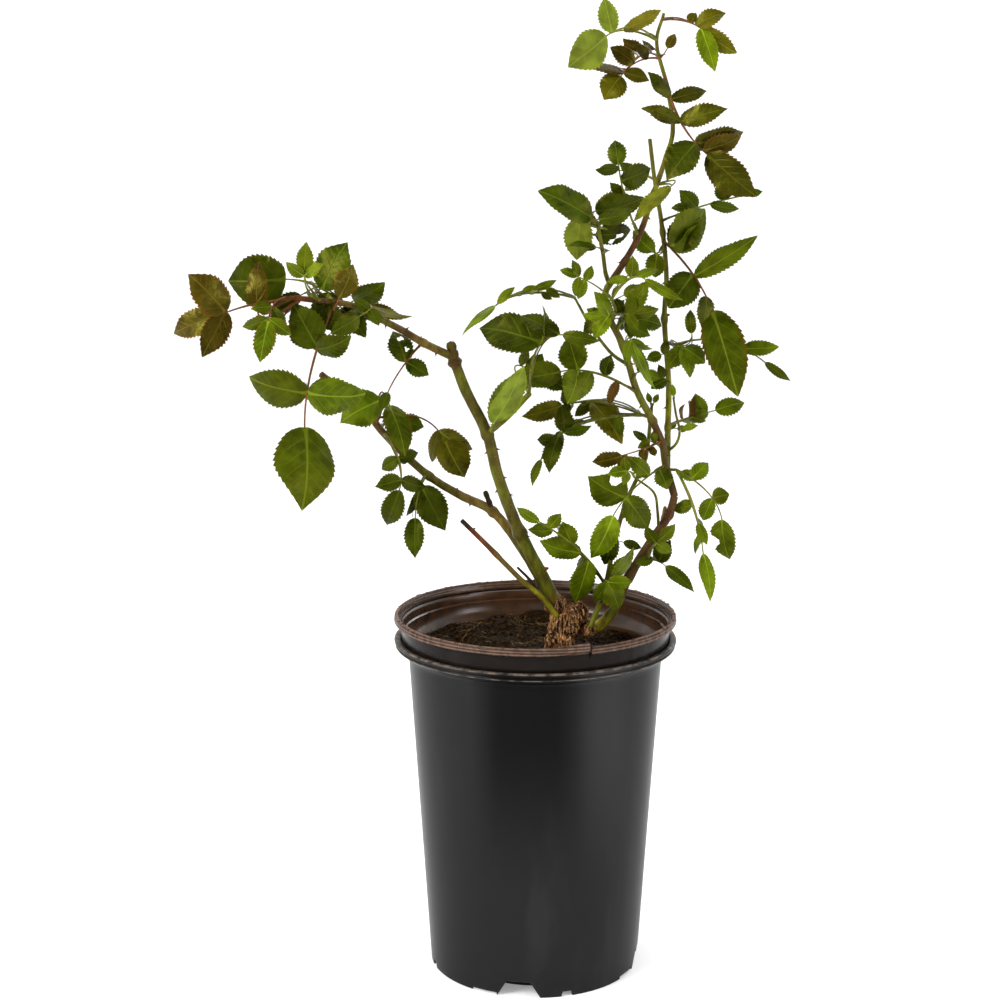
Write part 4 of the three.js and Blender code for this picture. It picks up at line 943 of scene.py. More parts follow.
def blade(pile, leaflet, tone, under, fine, bitten, holed):
    """One leaflet: a thin toothed blade, folded along its midrib and quilted between its side veins."""
    base, tip, width, facing, droop = leaflet
    look = TONES[tone]
    reach = tip - base
    length = np.linalg.norm(reach)
    along = reach / length
    rise = unit(facing - along * facing.dot(along))
    across = np.cross(rise, along)
    upper = -1.0 if under else 1.0
    teeth = int(np.clip(round(4 + length / TOOTH_PITCH), *TEETH))
    rows = 2 * teeth
    half = width * 1.02 / 2
    # What differs from leaflet to leaflet: its outline, its waves, and how it folds, curls and bends back
    fullness, point = 0.5 + 0.14 * fine(), 0.2 + 0.4 * fine()
    wave, phase = 0.06 + 0.1 * fine(), 6.3 * fine()
    fold = look["fold"] * (0.5 + fine())
    curl = 0.25 + 0.3 * fine()
    recurve = 0.05 + 0.16 * fine()
    start = FINE_COLUMNS if holed else COLUMNS
    wide = len(start)
    share = (np.arange(rows + 1) + 0.35) / (rows + 0.9)
    grid_share = np.repeat(share[:, None], wide, axis=1)
    columns = np.repeat(start[None, :], rows + 1, axis=0)
    depth = pierce(grid_share, columns, fine) if holed else None
    place_share = grid_share.copy()
    margin = np.abs(start) == 1
    toothed = np.arange(rows + 1) % 2 == 1
    grid_share[np.ix_(toothed, margin)] += 0.8 / rows
    breadth = half_breadth(np.clip(grid_share, 0.004, 0.996), fullness, point)
    notch = min(DEEPEST_NOTCH, TOOTH_DEPTH / half)
    breadth[np.ix_(~toothed, margin)] *= 1 - notch
    lopsided = 1 + (0.12 * fine() - 0.06) * np.sign(columns)
    aside = columns * breadth * half * lopsided
    if bitten is not None:
        gone = np.exp(-(((grid_share - bitten) / 0.13) ** 4))
        aside = np.where(aside < 0, aside * (1 - 0.66 * gone), aside)
    out = np.abs(aside) / half
    strip = grid_share - 0.33 * out * half / length * 2
    quilt = np.abs(np.sin(math.pi * VEINS * strip)) ** 0.7 - 0.6
    quilt *= 0.06 * half * np.sqrt(out) * (1 - np.abs(columns) ** 3 * 0.7)
    height = fold * np.abs(aside) - curl * aside**2 / half * 0.5 + quilt
    height += wave * half * out**2 * np.sin(2 * math.pi * 1.6 * grid_share + phase + (columns > 0) * 2.2)
    height -= recurve * length * np.clip(grid_share - 0.62, 0, 1) ** 2 * 2
    bow = droop * length * 2 * grid_share * (1 - grid_share)
    thick = BLADE_HALF_THICKNESS * (1 - np.abs(columns))
    rib = RIB_DEPTH * (1 - 0.8 * grid_share) * (columns == 0) * min(1, length / 25)
    middle = base + grid_share[..., None] * reach + aside[..., None] * across
    level = bow + upper * height
    top = middle + (level + upper * thick)[..., None] * rise
    bottom = middle + (level - upper * (thick + rib))[..., None] * rise
    ends = np.array([base, tip - upper * recurve * length * 0.38**2 * 2 * rise])
    points = np.concatenate([top.reshape(-1, 3), bottom[:, 1:-1].reshape(-1, 3), ends])
    tint = fine()
    place = np.stack([place_share, columns, np.full_like(columns, tint)], -1)
    ends_place = [[0, 0, tint], [1, 0, tint]]
    values = np.concatenate([place.reshape(-1, 3), place[:, 1:-1].reshape(-1, 3), ends_place])
    count = rows + 1

    def top_at(i, j):
        return i * wide + j

    def bottom_at(i, j):
        return top_at(i, j) if j in (0, wide - 1) else count * wide + i * (wide - 2) + j - 1

    low, high = len(points) - 2, len(points) - 1
    for at, finish, turn in ((top_at, "_top", upper), (bottom_at, "_under", -upper)):
        faces = []
        for j in range(wide - 1):
            faces.append((low, at(0, j), at(0, j + 1)))
            faces.append((at(count - 1, j), high, at(count - 1, j + 1)))
            for i in range(count - 1):
                if depth is None or depth[i : i + 2, j : j + 2].max() > 1.01:
                    # Both surfaces are cut along the same diagonal, so that they never cross.
                    faces.append((at(i, j), at(i + 1, j), at(i + 1, j + 1)))
                    faces.append((at(i, j), at(i + 1, j + 1), at(i, j + 1)))
        if turn < 0:
            faces = [tuple(reversed(face)) for face in faces]
        # Each surface brings only the points that its own faces use.
        used = sorted({v for face in faces for v in face})
        order = {v: n for n, v in enumerate(used)}
        pile.add(points[used], [tuple(order[v] for v in face) for face in faces], tone + finish, values[used])


def stipules(pile, rachis, curve_radius, colour):
    """The pair of narrow wings, with free tips, along the first stretch of a leaf's stalk."""
    length = rachis.length()
    reach = min(STIPULE_LENGTH / length, 0.4)
    start = min(curve_radius / length, 0.3)
    shares = np.linspace(start, start + reach, 6)
    widths = np.array([0.5, 1.3, 1.5, 1.6, 1.5, 0.2])
    for hand in (-1, 1):
        rows = []
        for share, width in zip(shares, widths):
            point = rachis.at(share)
            along = rachis.heading(share)
            side = unit(np.cross(along, UP) if abs(along[2]) < 0.95 else np.cross(along, [0.0, 1.0, 0.0]))
            up = np.cross(side, along)
            rows.append([point + up * 0.25, point + side * hand * width + up * 0.7, point - up * 0.25])
        tip = rachis.at(shares[-1]) + side * hand * 2.6 + rachis.heading(shares[-1]) * 1.8
        points = np.array(rows).reshape(-1, 3)
        faces = ring_faces(len(shares), 3)
        last = len(points) - 3
        faces += [(last, last + 1, last + 3), (last + 1, last + 2, last + 3), (last + 2, last, last + 3)]
        pile.add(np.vstack([points, tip]), faces, "rind", colour)


def prickle(pile, root, outward, along, size, colour):
    """A hooked prickle with a long foot, its point turned down the cane."""
    sides = 7
    turns = 2 * math.pi * np.arange(sides) / sides
    thin = np.cross(along, outward)
    rings = []
    for share in (0.0, 0.12, 0.3, 0.55, 0.8, 0.97):
        middle = root + outward * size * (share - 0.1) - along * size * 0.42 * share**2
        long = size * (0.10 + 0.42 * (1 - share) ** 2.2) * (1 - share * 0.75)
        wide = size * 0.2 * (1 - share) ** 0.8 + 0.03
        rings.append(middle + np.outer(np.cos(turns) * long, along) + np.outer(np.sin(turns) * wide, thin))
    points = np.concatenate(rings)
    faces = ring_faces(len(rings), sides)
    faces.append(tuple(range(len(points) - sides, len(points))))
    pile.add(points, faces, "rind", colour)


def bud(pile, root, outward, size, colour):
    """A small pointed bud."""
    shares = np.linspace(0, 1, 7)
    radii = size * 0.33 * np.sin(math.pi * (0.25 + 0.72 * shares)) ** 0.8
    points, faces = tube([root + outward * size * s for s in shares], radii, STALK_SIDES)
    pile.add(points, faces, "rind", colour)


# Canes

def rind_at(rinds, share):
    """The colour at a share of the way along a row of rinds, each blended into the next."""
    place = share * (len(rinds) - 1)
    before = min(int(place), len(rinds) - 2)
    blend = smoothstep(place - before, 0.25, 0.75)
    return np.array(RINDS[rinds[before]]) * (1 - blend) + np.array(RINDS[rinds[before + 1]]) * blend


def rind_tube(pile, curve, radius_at, rinds, sides, seed, nodes=()):
    """A cane with low relief: node swellings, ring scars and uneven bark."""
    length = curve.length()
    steps = max(4, int(length / CANE_PITCH))
    shares = np.linspace(0, 1, steps + 1)
    points = np.array([curve.at(s) for s in shares])
    radii = np.array([radius_at(s) for s in shares])
    for x, z, size in nodes:
        away = (shares - nearest(curve, (x, z))) * length
        swelling = size * np.exp(-((away / 3.2) ** 2)) * 0.8
        radii = radii + swelling - 0.25 * np.exp(-(((away + 3.6) / 0.8) ** 2))
    turns = 2 * math.pi * np.arange(sides) / sides
    relief = np.array([
        [0.07 * rough(p * [1, 1, 0.5] + 9 * np.array([math.cos(t), math.sin(t), 0]), 5, seed) for t in turns]
        for p in points
    ])
    body, faces = tube(points, radii, sides, relief)
    colours = np.array([rind_at(rinds, s) for s in shares])
    patchy = np.array([1 + 0.35 * rough(p, 9, seed + 5) for p in points])
    tones = np.repeat(colours * patchy[:, None], sides, axis=0)
    pile.add(body, faces, "rind", np.vstack([tones, colours[0], colours[-1]]))


def cane(name, spec, index):
    """A cane's bark, with its prickles, buds and stubs."""
    curve = Spline(spec["path"])
    foot, tip = spec["width"]
    rinds = spec["rinds"].split()
    pile = Pile()

    def radius_at(share):
        return (foot + (tip - foot) * share) / 2

    def grow_prickle(share, outward, size):
        along = curve.heading(share)
        outward = unit(outward - along * outward.dot(along))
        root = curve.at(share) + outward * radius_at(share) * 0.9
        prickle(pile, root, outward, along, size, RINDS["thorn"])

    rind_tube(pile, curve, radius_at, rinds, CANE_SIDES, index * 3.7, spec["nodes"])
    draw = seeded(CANE_SEED + index)
    for i in range(spec["strays"]):
        share = spec.get("enters", 1) * (i + 0.75 + spread(draw, 0.2)) / (spec["strays"] + 0.5)
        turn = spread(draw, math.pi)
        if math.sin(turn) >= 0.2:
            grow_prickle(share, np.array([math.cos(turn), math.sin(turn), 0.0]), STRAY_SIZE)
    for x, z, way in spec.get("prickles", []):
        share = nearest(curve, (x, z))
        grow_prickle(share, heading(way, -0.25), 2.6 + 1.2 * radius_at(share) / 4)
    for x, z, way, size in spec.get("buds", []):
        share = nearest(curve, (x, z))
        outward = unit(heading(way, -0.3))
        bud(pile, curve.at(share) + outward * radius_at(share) * 0.6, outward, size, RINDS["red"])
    for start, end, width, rind in spec.get("stubs", []):
        base = curve.at(nearest(curve, start))
        shares = np.linspace(0, 1, STUB_RINGS)
        points = base + shares[:, None] * (seen(*end) - base)
        radii = width / 2 * (1 - 0.12 * shares) * (1 + 0.12 * np.sin(shares * 17))
        body, faces = tube(points, radii, STUB_SIDES)
        tones = np.repeat([rind_at([rinds[-2], rind, rind], s) for s in shares], STUB_SIDES, axis=0)
        pile.add(body, faces, "rind", np.vstack([tones, tones[0], RINDS["dark"]]))
    pile.become(name + "_bark", "cane_bark", [name], "tone")


def behind(row, further, turn):
    """A smaller leaf of the same shape, further off and turned away, for the views from round the plant."""
    x, z, depth = row["to"]
    small = {key: [BEHIND_SIZE * size for size in row[key]] for key in ("end", "side") if key in row}
    more = []
    for spot, aim, length, width, *turned in row["more"]:
        tilt = turn + (turned[0] if turned else 0)
        more.append([spot, aim, BEHIND_SIZE * length, BEHIND_SIZE * width, tilt])
    tilt = turn + row.get("tilt", 0)
    return {**row, **small, "more": more, "tilt": tilt, "to": [x, z, depth + further], "behind": True}


def backed(rows):
    """The rows, and the leaves behind them that fill the plant out towards its sides and back."""
    twins = []
    for row in rows:
        whole = not (row.get("holed") or row.get("bitten"))
        if row["end"][0] > BACKED_LENGTH and row["to"][2] < BACKED_DEPTH and whole:
            twins += [behind(row, further, turn) for further, turn in BEHIND]
    return rows + twins


def spray(name, spec, index):
    """A mass: its stem, and leaves by the part's rule, with rachis, stipules and toothed blades."""
    draw = seeded(SPRAY_SEED + index)
    fine = seeded(BLADE_SEED + index)
    leaves, stalks = Pile(), Pile()
    if "stem" in spec:
        curve = Spline(spec["stem"])
        foot, tip = spec["width"]
        radius = foot / 2
        rind_tube(stalks, curve, lambda s: (foot + (tip - foot) * s) / 2 * STEM_SHARE,
                  ["green", "green"], STEM_SIDES, index + 0.5)
    else:
        carrier = CANES[spec["on"]]
        curve = Spline(carrier["path"])
        radius = carrier["width"][1] / 2
    for row in backed(spec["leaves"] + spec.get("finer", [])):
        tone = row["tone"].replace("_under", "")
        under = row["tone"].endswith("_under")
        rachis, leaflets = compound_leaf(row, curve, draw)
        stalk = RED_STALK if row.get("stalk") == "red" else TONES[tone]["stalk"]
        length = rachis.length()
        steps = max(5, int(length / STALK_PITCH))
        shares = np.linspace(0, 1, steps + 1)
        thick = STALK_RADIUS + min(length, 90) * 0.004
        radii = thick * (1 - 0.35 * shares) + STALK_RADIUS * np.exp(-((shares * length - radius) / 2.2) ** 2)
        if row.get("behind"):
            radii = radii * BEHIND_STALK
        body, faces = tube([rachis.at(s) for s in shares], radii, STALK_SIDES)
        stalks.add(body, faces, "rind", stalk)
        if length > STIPULE_LENGTH:
            stipules(stalks, rachis, radius, TONES[tone]["top"])
        tones = row.get("tones", {})
        for k, leaflet in enumerate(leaflets):
            own = "dry" if k in row.get("dry", ()) else tones.get(k, tone)
            blade(leaves, leaflet, own, under, fine, row.get("bitten", {}).get(k), k in row.get("holed", ()))
    leaves.become(name + "_leaves", "leaf", [name], "leaf")
    stalks.become(name + "_stalks", "leaf", [name], "tone")


# Rootstock

def rootstock():
    """The knobby stock: overlapping lumps melted into one body, then roughened as flaking bark."""
    path = [(20, 249, 0), (19.5, 258, 0), (20, 265, 0), (22.5, 274, 0), (26, 283, 0), (25, 289, 0)]
    radii = [17.5, 12, 11, 12.5, 13.5, 9]
    knobs = [(14, 290, -3, 7.5), (34, 284, 1, 8), (41, 271, -2, 6.5), (18, 281, 8, 7), (29, 272, -9, 6),
             (17, 291, -5, 7.2), (19, 287, 6, 6.2), (42, 270, 1, 6.6), (12, 262, -8, 5), (26, 259, -10, 5)]
    rough_form = Pile()
    body, faces = tube([seen(*p) for p in path], radii, STOCK_SIDES)
    rough_form.add(body, faces, "rind", (0, 0, 0))
    for x, z, depth, radius in knobs:
        levels = np.linspace(-0.94, 0.94, 9)
        middle = seen(x, z, depth)
        centres = [middle + UP * radius * 1.1 * v for v in levels]
        points, faces = tube(centres, radius * np.sqrt(1 - levels**2), KNOB_SIDES)
        rough_form.add(points, faces, "rind", (0, 0, 0))
    mesh = bpy.data.meshes.new("stock_form")
    mesh.from_pydata(np.concatenate(rough_form.points) / METRE, [], rough_form.faces)
    form = bpy.data.objects.new("stock_form", mesh)
    bpy.context.scene.collection.objects.link(form)
    melt = form.modifiers.new("melt", "REMESH")
    melt.mode = "VOXEL"
    melt.voxel_size = MELT_GRAIN / METRE
    even = form.modifiers.new("even", "SMOOTH")
    even.iterations = MELT_ROUNDS
    made = form.evaluated_get(bpy.context.evaluated_depsgraph_get()).to_mesh()
    points = np.array([v.co for v in made.vertices]) * METRE
    normals = np.array([v.normal for v in made.vertices])
    faces = [tuple(p.vertices) for p in made.polygons]
    bpy.data.objects.remove(form)
    bumps = []
    tones = []
    for p in points:
        around = math.atan2(p[1], p[0] - FOOT[0] - 4)
        spun = np.array([14 * math.cos(around), 14 * math.sin(around), p[2] * 0.22])
        ridges = 1 - abs(rough(spun, 2.3, 8)) * 3.2
        lumps = rough(p, 8, 3)
        strands = 1 - abs(rough(spun, 1.1, 15)) * 3
        flakes = rough(p * [1, 1, 0.5], 1.3, 21)
        bumps.append(0.6 * lumps + 0.55 * ridges + 0.4 * strands + 0.6 * flakes - 0.8)
        pale = smoothstep(0.6 * ridges + 0.5 * strands + 0.9 * flakes, -0.1, 1.3)
        tones.append(np.array([0.04, 0.013, 0.002]) * (1 - pale) + np.array([0.85, 0.43, 0.17]) * pale)
    pile = Pile()
    pile.add(points + normals * np.array(bumps)[:, None], faces, "stock_bark", tones)
    pile.become("rootstock_bark", "old_bark", ["rootstock"], "tone")


# Pots

NECK_SLOPE = (OUTER_NECK_RADIUS - OUTER_FOOT_RADIUS) / OUTER_NECK


def outer_radius(height):
    """The outer pot's radius at a height, below its neck."""
    return OUTER_FOOT_RADIUS + NECK_SLOPE * height


def corner(middle, radius, start, end, steps=5):
    """Points of a rounded edge, from one angle in degrees to another."""
    return [
        (middle[0] + radius * math.cos(math.radians(a)), middle[1] + radius * math.sin(math.radians(a)))
        for a in np.linspace(start, end, steps)
    ]


def turned_piece(pile, profile, turns, finish, shift=None):
    """A profile of (radius, height) turned about the axis; shift moves its points by height and turn."""
    rings = []
    for turn in turns:
        outline = np.array(profile(turn) if callable(profile) else profile, float)
        if shift:
            outline = outline + shift(turn, outline)
        rings.append(np.stack([
            outline[:, 0] * math.sin(turn), -outline[:, 0] * math.cos(turn), outline[:, 1],
        ], -1))
    sides = len(rings[0])
    full = ring_faces(len(turns) + 1, sides, closed=False)
    count = len(turns) * sides
    pile.add(np.concatenate(rings), [tuple(v % count for v in face) for face in full], finish, (0, 0, 0))
    return count, sides


def notch_height(turn):
    """How high the drain notches cut the skirt at a turn from the front, in radians."""
    cut = 0.0
    for foot, top, height, middle in NOTCHES:
        for quarter in range(4):
            away = (math.degrees(turn) - middle - 90 * quarter + 180) % 360 - 180
            aside = abs(math.radians(away)) * OUTER_FOOT_RADIUS
            if aside < foot / 2:
                slope = (foot - top) / 2
                share = 1 if aside < top / 2 else (foot / 2 - aside) / max(slope, 1e-6)
                cut = max(cut, height * min(share, 1))
    return cut


def outer_pot():
    """The tapering outer pot, with its flange, its skirt and its drain notches."""
    mouth = INNER_BAND_RADIUS + NEST_GAP
    top = OUTER_TOP

    def profile(turn):
        cut = notch_height(turn)
        foot = outer_radius(cut)
        return (
            [(0.01, 0), (FLOOR_RADIUS, 0), (FLOOR_RADIUS + 4, SKIRT_HEIGHT - POT_WALL),
             (outer_radius(SKIRT_HEIGHT) - POT_WALL, SKIRT_HEIGHT - POT_WALL),
             (foot - POT_WALL, cut), (foot - 0.5, cut - 0.001), (foot, cut + 0.5)]
            + [(outer_radius(h), h) for h in (SKIRT_HEIGHT + 2, 60, 120, 180, 225, 244, 249, 252)]
            + [(OUTER_NECK_RADIUS + 0.9, 254.4), (OUTER_NECK_RADIUS + 3.4, 256.4), (mouth + 0.6, 257.6)]
            + [(mouth + 1.4, 258.6), (mouth + 1.6, top - 6.2)]
            + corner((RIM_RADIUS - 1.9, top - 5), 1.2, -90, 40)
            + [(RIM_RADIUS - 1.6, top - 3.7)]
            + corner((RIM_RADIUS - 1.7, top - 1.7), 1.7, -40, 90, 8)
            + [(mouth + 2.2, top - 0.1), (mouth + 0.4, top - 0.6), (mouth, top - 1.6),
               (mouth, OUTER_NECK + 3.4),
               (OUTER_NECK_RADIUS - POT_WALL, OUTER_NECK + 1),
               (outer_radius(SKIRT_HEIGHT) - POT_WALL, SKIRT_HEIGHT), (0.01, SKIRT_HEIGHT)]
        )

    turns = set(np.linspace(0, 2 * math.pi, OUTER_TURNS, endpoint=False).round(5))
    for foot, top_width, _, middle in NOTCHES:
        for quarter in range(4):
            for aside in (-foot / 2, -top_width / 2, top_width / 2, foot / 2):
                for edge in (-0.06, 0.06):
                    turn = math.radians(middle + 90 * quarter) + (aside + edge) / OUTER_FOOT_RADIUS
                    turns.add(round(turn % (2 * math.pi), 5))
    pile = Pile()
    turned_piece(pile, profile, sorted(turns), "outer_plastic")
    piece = pile.become("pot_outer_shell", "pot_outer_plastic", ["pot_outer"], "tone")
    sharpen(piece)


def sharpen(piece):
    """Edges over an angle stay crisp, and the rest shade smooth."""
    limit = math.radians(CRISP_FROM)
    mesh = piece.data
    normals = {}
    for polygon in mesh.polygons:
        for edge in polygon.edge_keys:
            normals.setdefault(edge, []).append(polygon.normal.copy())
    sharp = []
    for edge in mesh.edges:
        sides = normals.get(tuple(sorted(edge.vertices)), [])
        sharp.append(len(sides) == 2 and sides[0].angle(sides[1], 0) > limit)
    mesh.edges.foreach_set("use_edge_sharp", sharp)


def inner_pot():
    """The inner pot, with its band, its rolled lip, its ledge and its slit."""
    shoulder = OUTER_NECK + 3.4 + NEST_GAP
    foot = SKIRT_HEIGHT + NEST_GAP
    under = INNER_TOP - LIP_HEIGHT
    band = INNER_BAND_RADIUS
    within = outer_radius(OUTER_NECK) - POT_WALL - NEST_GAP
    low = outer_radius(foot) - POT_WALL - NEST_GAP
    lip = (
        [(band, under + 0.3), (RIM_RADIUS - 2.6, under + 0.2)]
        + corner((RIM_RADIUS - 1.8, under + 1.8), 1.8, -80, 0, 5)
        + [(RIM_RADIUS - 0.3, INNER_TOP - 3)]
        + corner((RIM_RADIUS - 2.4, INNER_TOP - 2.1), 2.1, 10, 110, 7)
        + [(RIM_RADIUS - 4.1, INNER_TOP - 1.6), (RIM_RADIUS - 4.6, under - 0.6), (band - 1.2, under - 2)]
    )
    outline = np.array(
        [(0.01, foot), (low, foot), (within, OUTER_NECK + 1), (band - 0.2, shoulder), (band, shoulder + 1.2)]
        + lip
        + [(band - POT_WALL, under - 3.2), (band - POT_WALL - 0.1, LEDGE + 0.8),
           (band - POT_WALL - 1.7, LEDGE), (band - POT_WALL - 1.9, shoulder + 3), (band - 5, shoulder + 0.6),
           (within - POT_WALL + 0.6, OUTER_NECK + 1.2), (within - POT_WALL, OUTER_NECK - 2),
           (low - POT_WALL, foot + POT_WALL), (0.01, foot + POT_WALL)]
    )
    slit = math.radians(SLIT_TURN)
    half = SLIT_WIDTH / 2 / RIM_RADIUS

    def shift(turn, points):
        """The lip is a little warped, and stands up beside the slit where its left edge laps over."""
        away = (slit - turn + math.pi) % (2 * math.pi) - math.pi
        raised = 2.6 * math.exp(-((away / 0.2) ** 2)) if away > 0 else -0.5 * math.exp(-((away / 0.2) ** 2))
        at_lip = smoothstep(points[:, 1], under - 4, under + 1)
        ripple = 0.35 * math.sin(3 * turn + 1) + 0.2 * math.sin(7 * turn)
        return np.stack([at_lip * (0.3 * ripple), at_lip * raised + 0.2 * ripple - 0.2], -1)

    left_side = slit - half - 0.002
    around = np.linspace(0, 2 * math.pi, INNER_TURNS, endpoint=False)
    turns = sorted([t for t in around if abs(t - slit) > half + 0.012] + [left_side, slit + half])
    pile = Pile()
    count, sides = turned_piece(pile, outline, turns, "inner_plastic", shift)
    # The slit: above its depth the wall's faces between its two sides are left out, and its sides are closed.
    left = turns.index(left_side)
    deep = INNER_TOP - SLIT_DEPTH
    cut = {k for k in range(sides - 1) if min(outline[k, 1], outline[k + 1, 1]) >= deep}
    kept = []
    for face in pile.faces:
        k = face[0] % sides
        if not (face[0] // sides == left and k in cut):
            kept.append(face)
    section = sorted(cut | {k + 1 for k in cut})
    kept.append(tuple(left * sides + k for k in section))
    kept.append(tuple(((left + 1) * sides + k) % count for k in reversed(section)))
    pile.faces = kept
    pile.finishes = [0] * len(kept)
    piece = pile.become("pot_inner_shell", "pot_inner_plastic", ["pot_inner"], "tone")
    sharpen(piece)


# Compost

def soil_height(x, y):
    """The compost's top by the part's rule, with finer lumps."""
    waves = math.sin(x * 0.11 + 1.3) * math.cos(y * 0.13 - 0.4) + 0.6 * math.sin(x * 0.05 - y * 0.08 + 2)
    away = math.hypot(x - FOOT[0], y - FOOT[1])
    open_ground = float(smoothstep(away, 32, 48))
    dip = SOIL_DIP * math.exp(-(((x + 14) / 18) ** 2) - ((y + 30) / 26) ** 2)
    bank = SOIL_BANK * float(smoothstep(y, 0, 70) * smoothstep(-x, -60, 20))
    height = FOOT[2] - GAP + open_ground * (SOIL_ROUGHNESS * (waves - 1) - dip + bank)
    spot = np.array([x, y, 0.0])
    lumps = 1.5 * rough(spot, 13, 2) + 1.1 * rough(spot, 5.5, 4) + 0.7 * rough(spot, 2.4, 6)
    return height + lumps - 0.4


SOIL_RADIUS = outer_radius(OUTER_NECK) - 2 * POT_WALL - NEST_GAP - 0.1


def compost():
    """The compost's surface, out to the wall. A bank of it reaches further, as the wall flares."""
    turns = [2 * math.pi * sector / SOIL_SECTORS for sector in range(SOIL_SECTORS)]
    points = [(0, 0, soil_height(0, 0))]
    reach = []
    for turn in turns:
        level = soil_height(SOIL_RADIUS * math.cos(turn), SOIL_RADIUS * math.sin(turn))
        reach.append(SOIL_RADIUS + 6 * float(smoothstep(level, OUTER_NECK + 1.5, OUTER_NECK + 5)))
    for ring in range(1, SOIL_RINGS + 1):
        for turn, edge in zip(turns, reach):
            away = edge * ring / SOIL_RINGS
            x, y = away * math.cos(turn), away * math.sin(turn)
            points.append((x, y, soil_height(x, y)))
    faces = [(0, 1 + k, 1 + (k + 1) % SOIL_SECTORS) for k in range(SOIL_SECTORS)]
    faces += [tuple(v + 1 for v in face) for face in ring_faces(SOIL_RINGS, SOIL_SECTORS)]
    pile = Pile()
    pile.add(points, [tuple(reversed(f)) if len(f) == 4 else f for f in faces], "compost_dark", (0, 0, 0))
    pile.become("soil_surface", "compost", ["soil"], "tone")


def lump(draw, middle, size):
    """A crumb: a small uneven solid of twenty faces."""
    golden = (1 + math.sqrt(5)) / 2
    corners = [(s, t * golden, 0) for s in (-1, 1) for t in (-1, 1)]
    corners = np.array([c[k:] + c[:k] for k in range(3) for c in corners], float)
    corners /= np.linalg.norm(corners[0])
    stretch = np.array([0.7 + 0.7 * draw(), 0.7 + 0.7 * draw(), 0.5 + 0.4 * draw()])
    points = corners * (0.75 + 0.5 * np.array([draw() for _ in corners]))[:, None] * stretch * size / 2
    near = np.linalg.norm(corners[:, None] - corners[None], axis=2)
    faces = []
    for a in range(12):
        for b in range(a + 1, 12):
            for c in range(b + 1, 12):
                if max(near[a, b], near[b, c], near[a, c]) < 1.2:
                    outward = np.cross(corners[b] - corners[a], corners[c] - corners[a])
                    faces.append((a, b, c) if outward.dot(corners[a]) > 0 else (a, c, b))
    return points + middle, faces


def crumbs():
    """Loose crumbs and bark bits on the compost, and dirt along the inner pot's lip and ledge."""
    draw = seeded(CRUMB_SEED)
    reach = SOIL_RADIUS - 2
    piles = {"soil_crumbs": Pile(), "soil_chips": Pile(), "rim_dirt": Pile()}
    shape, faces = lump(draw, np.zeros(3), 1.0)
    for _ in range(LOOSE_CRUMBS):
        away, turn = reach * math.sqrt(draw()), 2 * math.pi * draw()
        x, y = away * math.cos(turn), away * math.sin(turn)
        size = 0.8 + 3.4 * draw() ** 3
        spin = 2 * math.pi * draw()
        flat = np.array([0.7 + 0.6 * draw(), 0.7 + 0.6 * draw(), 0.4 + 0.6 * draw()]) * size
        cosine, sine = math.cos(spin), math.sin(spin)
        points = shape * flat @ np.array([[cosine, sine, 0], [-sine, cosine, 0], [0, 0, 1]])
        kind = "soil_chips" if draw() < CHIP_SHARE else "soil_crumbs"
        finish = "compost_chip" if kind == "soil_chips" else "compost_dark"
        piles[kind].add(points + [x, y, soil_height(x, y) + size * 0.15], faces, finish, (0, 0, 0))
    for _ in range(RIM_CRUMBS):
        turn = 2 * math.pi * draw()
        thick = 0.4 + 0.6 * smoothstep(math.sin(turn - 0.3), -0.5, 1)
        if draw() > thick:
            continue
        on_lip = draw() < LIP_SHARE
        away = RIM_RADIUS - 2.6 + spread(draw, 1.6) if on_lip else INNER_BAND_RADIUS - 3.2
        level = INNER_TOP - 0.25 if on_lip else LEDGE + 0.4
        size = 0.5 + 1.5 * draw() ** 3
        middle = np.array([away * math.sin(turn), -away * math.cos(turn), level])
        points = shape * np.array([0.8 + draw(), 0.8 + draw(), 0.6]) * size
        piles["rim_dirt"].add(points + middle, faces, "compost_dirt", (0, 0, 0))
    for name, pile in piles.items():
        pile.become(name, "compost", ["soil"], "tone")


def fibres():
    """Thin root fibres and straws lying on the compost."""
    draw = seeded(FIBRE_SEED)
    reach = SOIL_RADIUS - 6
    pile = Pile()
    for _ in range(FIBRES):
        away, turn, way = reach * math.sqrt(draw()), 2 * math.pi * draw(), 2 * math.pi * draw()
        length, bend = 6 + 20 * draw() ** 2, spread(draw, 1.4)
        points = []
        x, y = away * math.cos(turn), away * math.sin(turn)
        for _ in range(FIBRE_STEPS):
            if math.hypot(x, y) < reach:
                points.append((x, y, soil_height(x, y) + 0.5 + 0.8 * draw()))
            way += bend / FIBRE_STEPS
            x += math.cos(way) * length / FIBRE_STEPS
            y += math.sin(way) * length / FIBRE_STEPS
        if len(points) < 3:
            continue
        radius = 0.14 + 0.24 * draw()
        body, faces = tube(points, [radius] * len(points), 4)
        pile.add(body, faces, "compost_fibre", (0, 0, 0))
    pile.become("soil_fibres", "compost", ["soil"], "tone")


# Assembly

def make_finishes():
    """The materials, before any piece asks for one."""
    for name, look in TONES.items():
        leaf_finish(name + "_top", look["top"], look["vein"], look["edge"], look["rough"], 0.9)
        pale_vein = tuple(1.25 * c for c in look["under"])
        leaf_finish(name + "_under", look["under"], pale_vein, look["edge"], 0.55, -0.7)
    bark_finish("rind", 0.42, 4.0, 0.25)
    old_bark_finish()
    soil_finish("compost_dark", (0.006, 0.003, 0.001), (0.030, 0.016, 0.005))
    soil_finish("compost_chip", (0.03, 0.014, 0.004), (0.11, 0.056, 0.018))
    soil_finish("compost_dirt", (0.03, 0.015, 0.007), (0.09, 0.045, 0.022))
    soil_finish("compost_fibre", (0.10, 0.058, 0.02), (0.24, 0.145, 0.05))
    outer_plastic_finish()
    inner_plastic_finish()


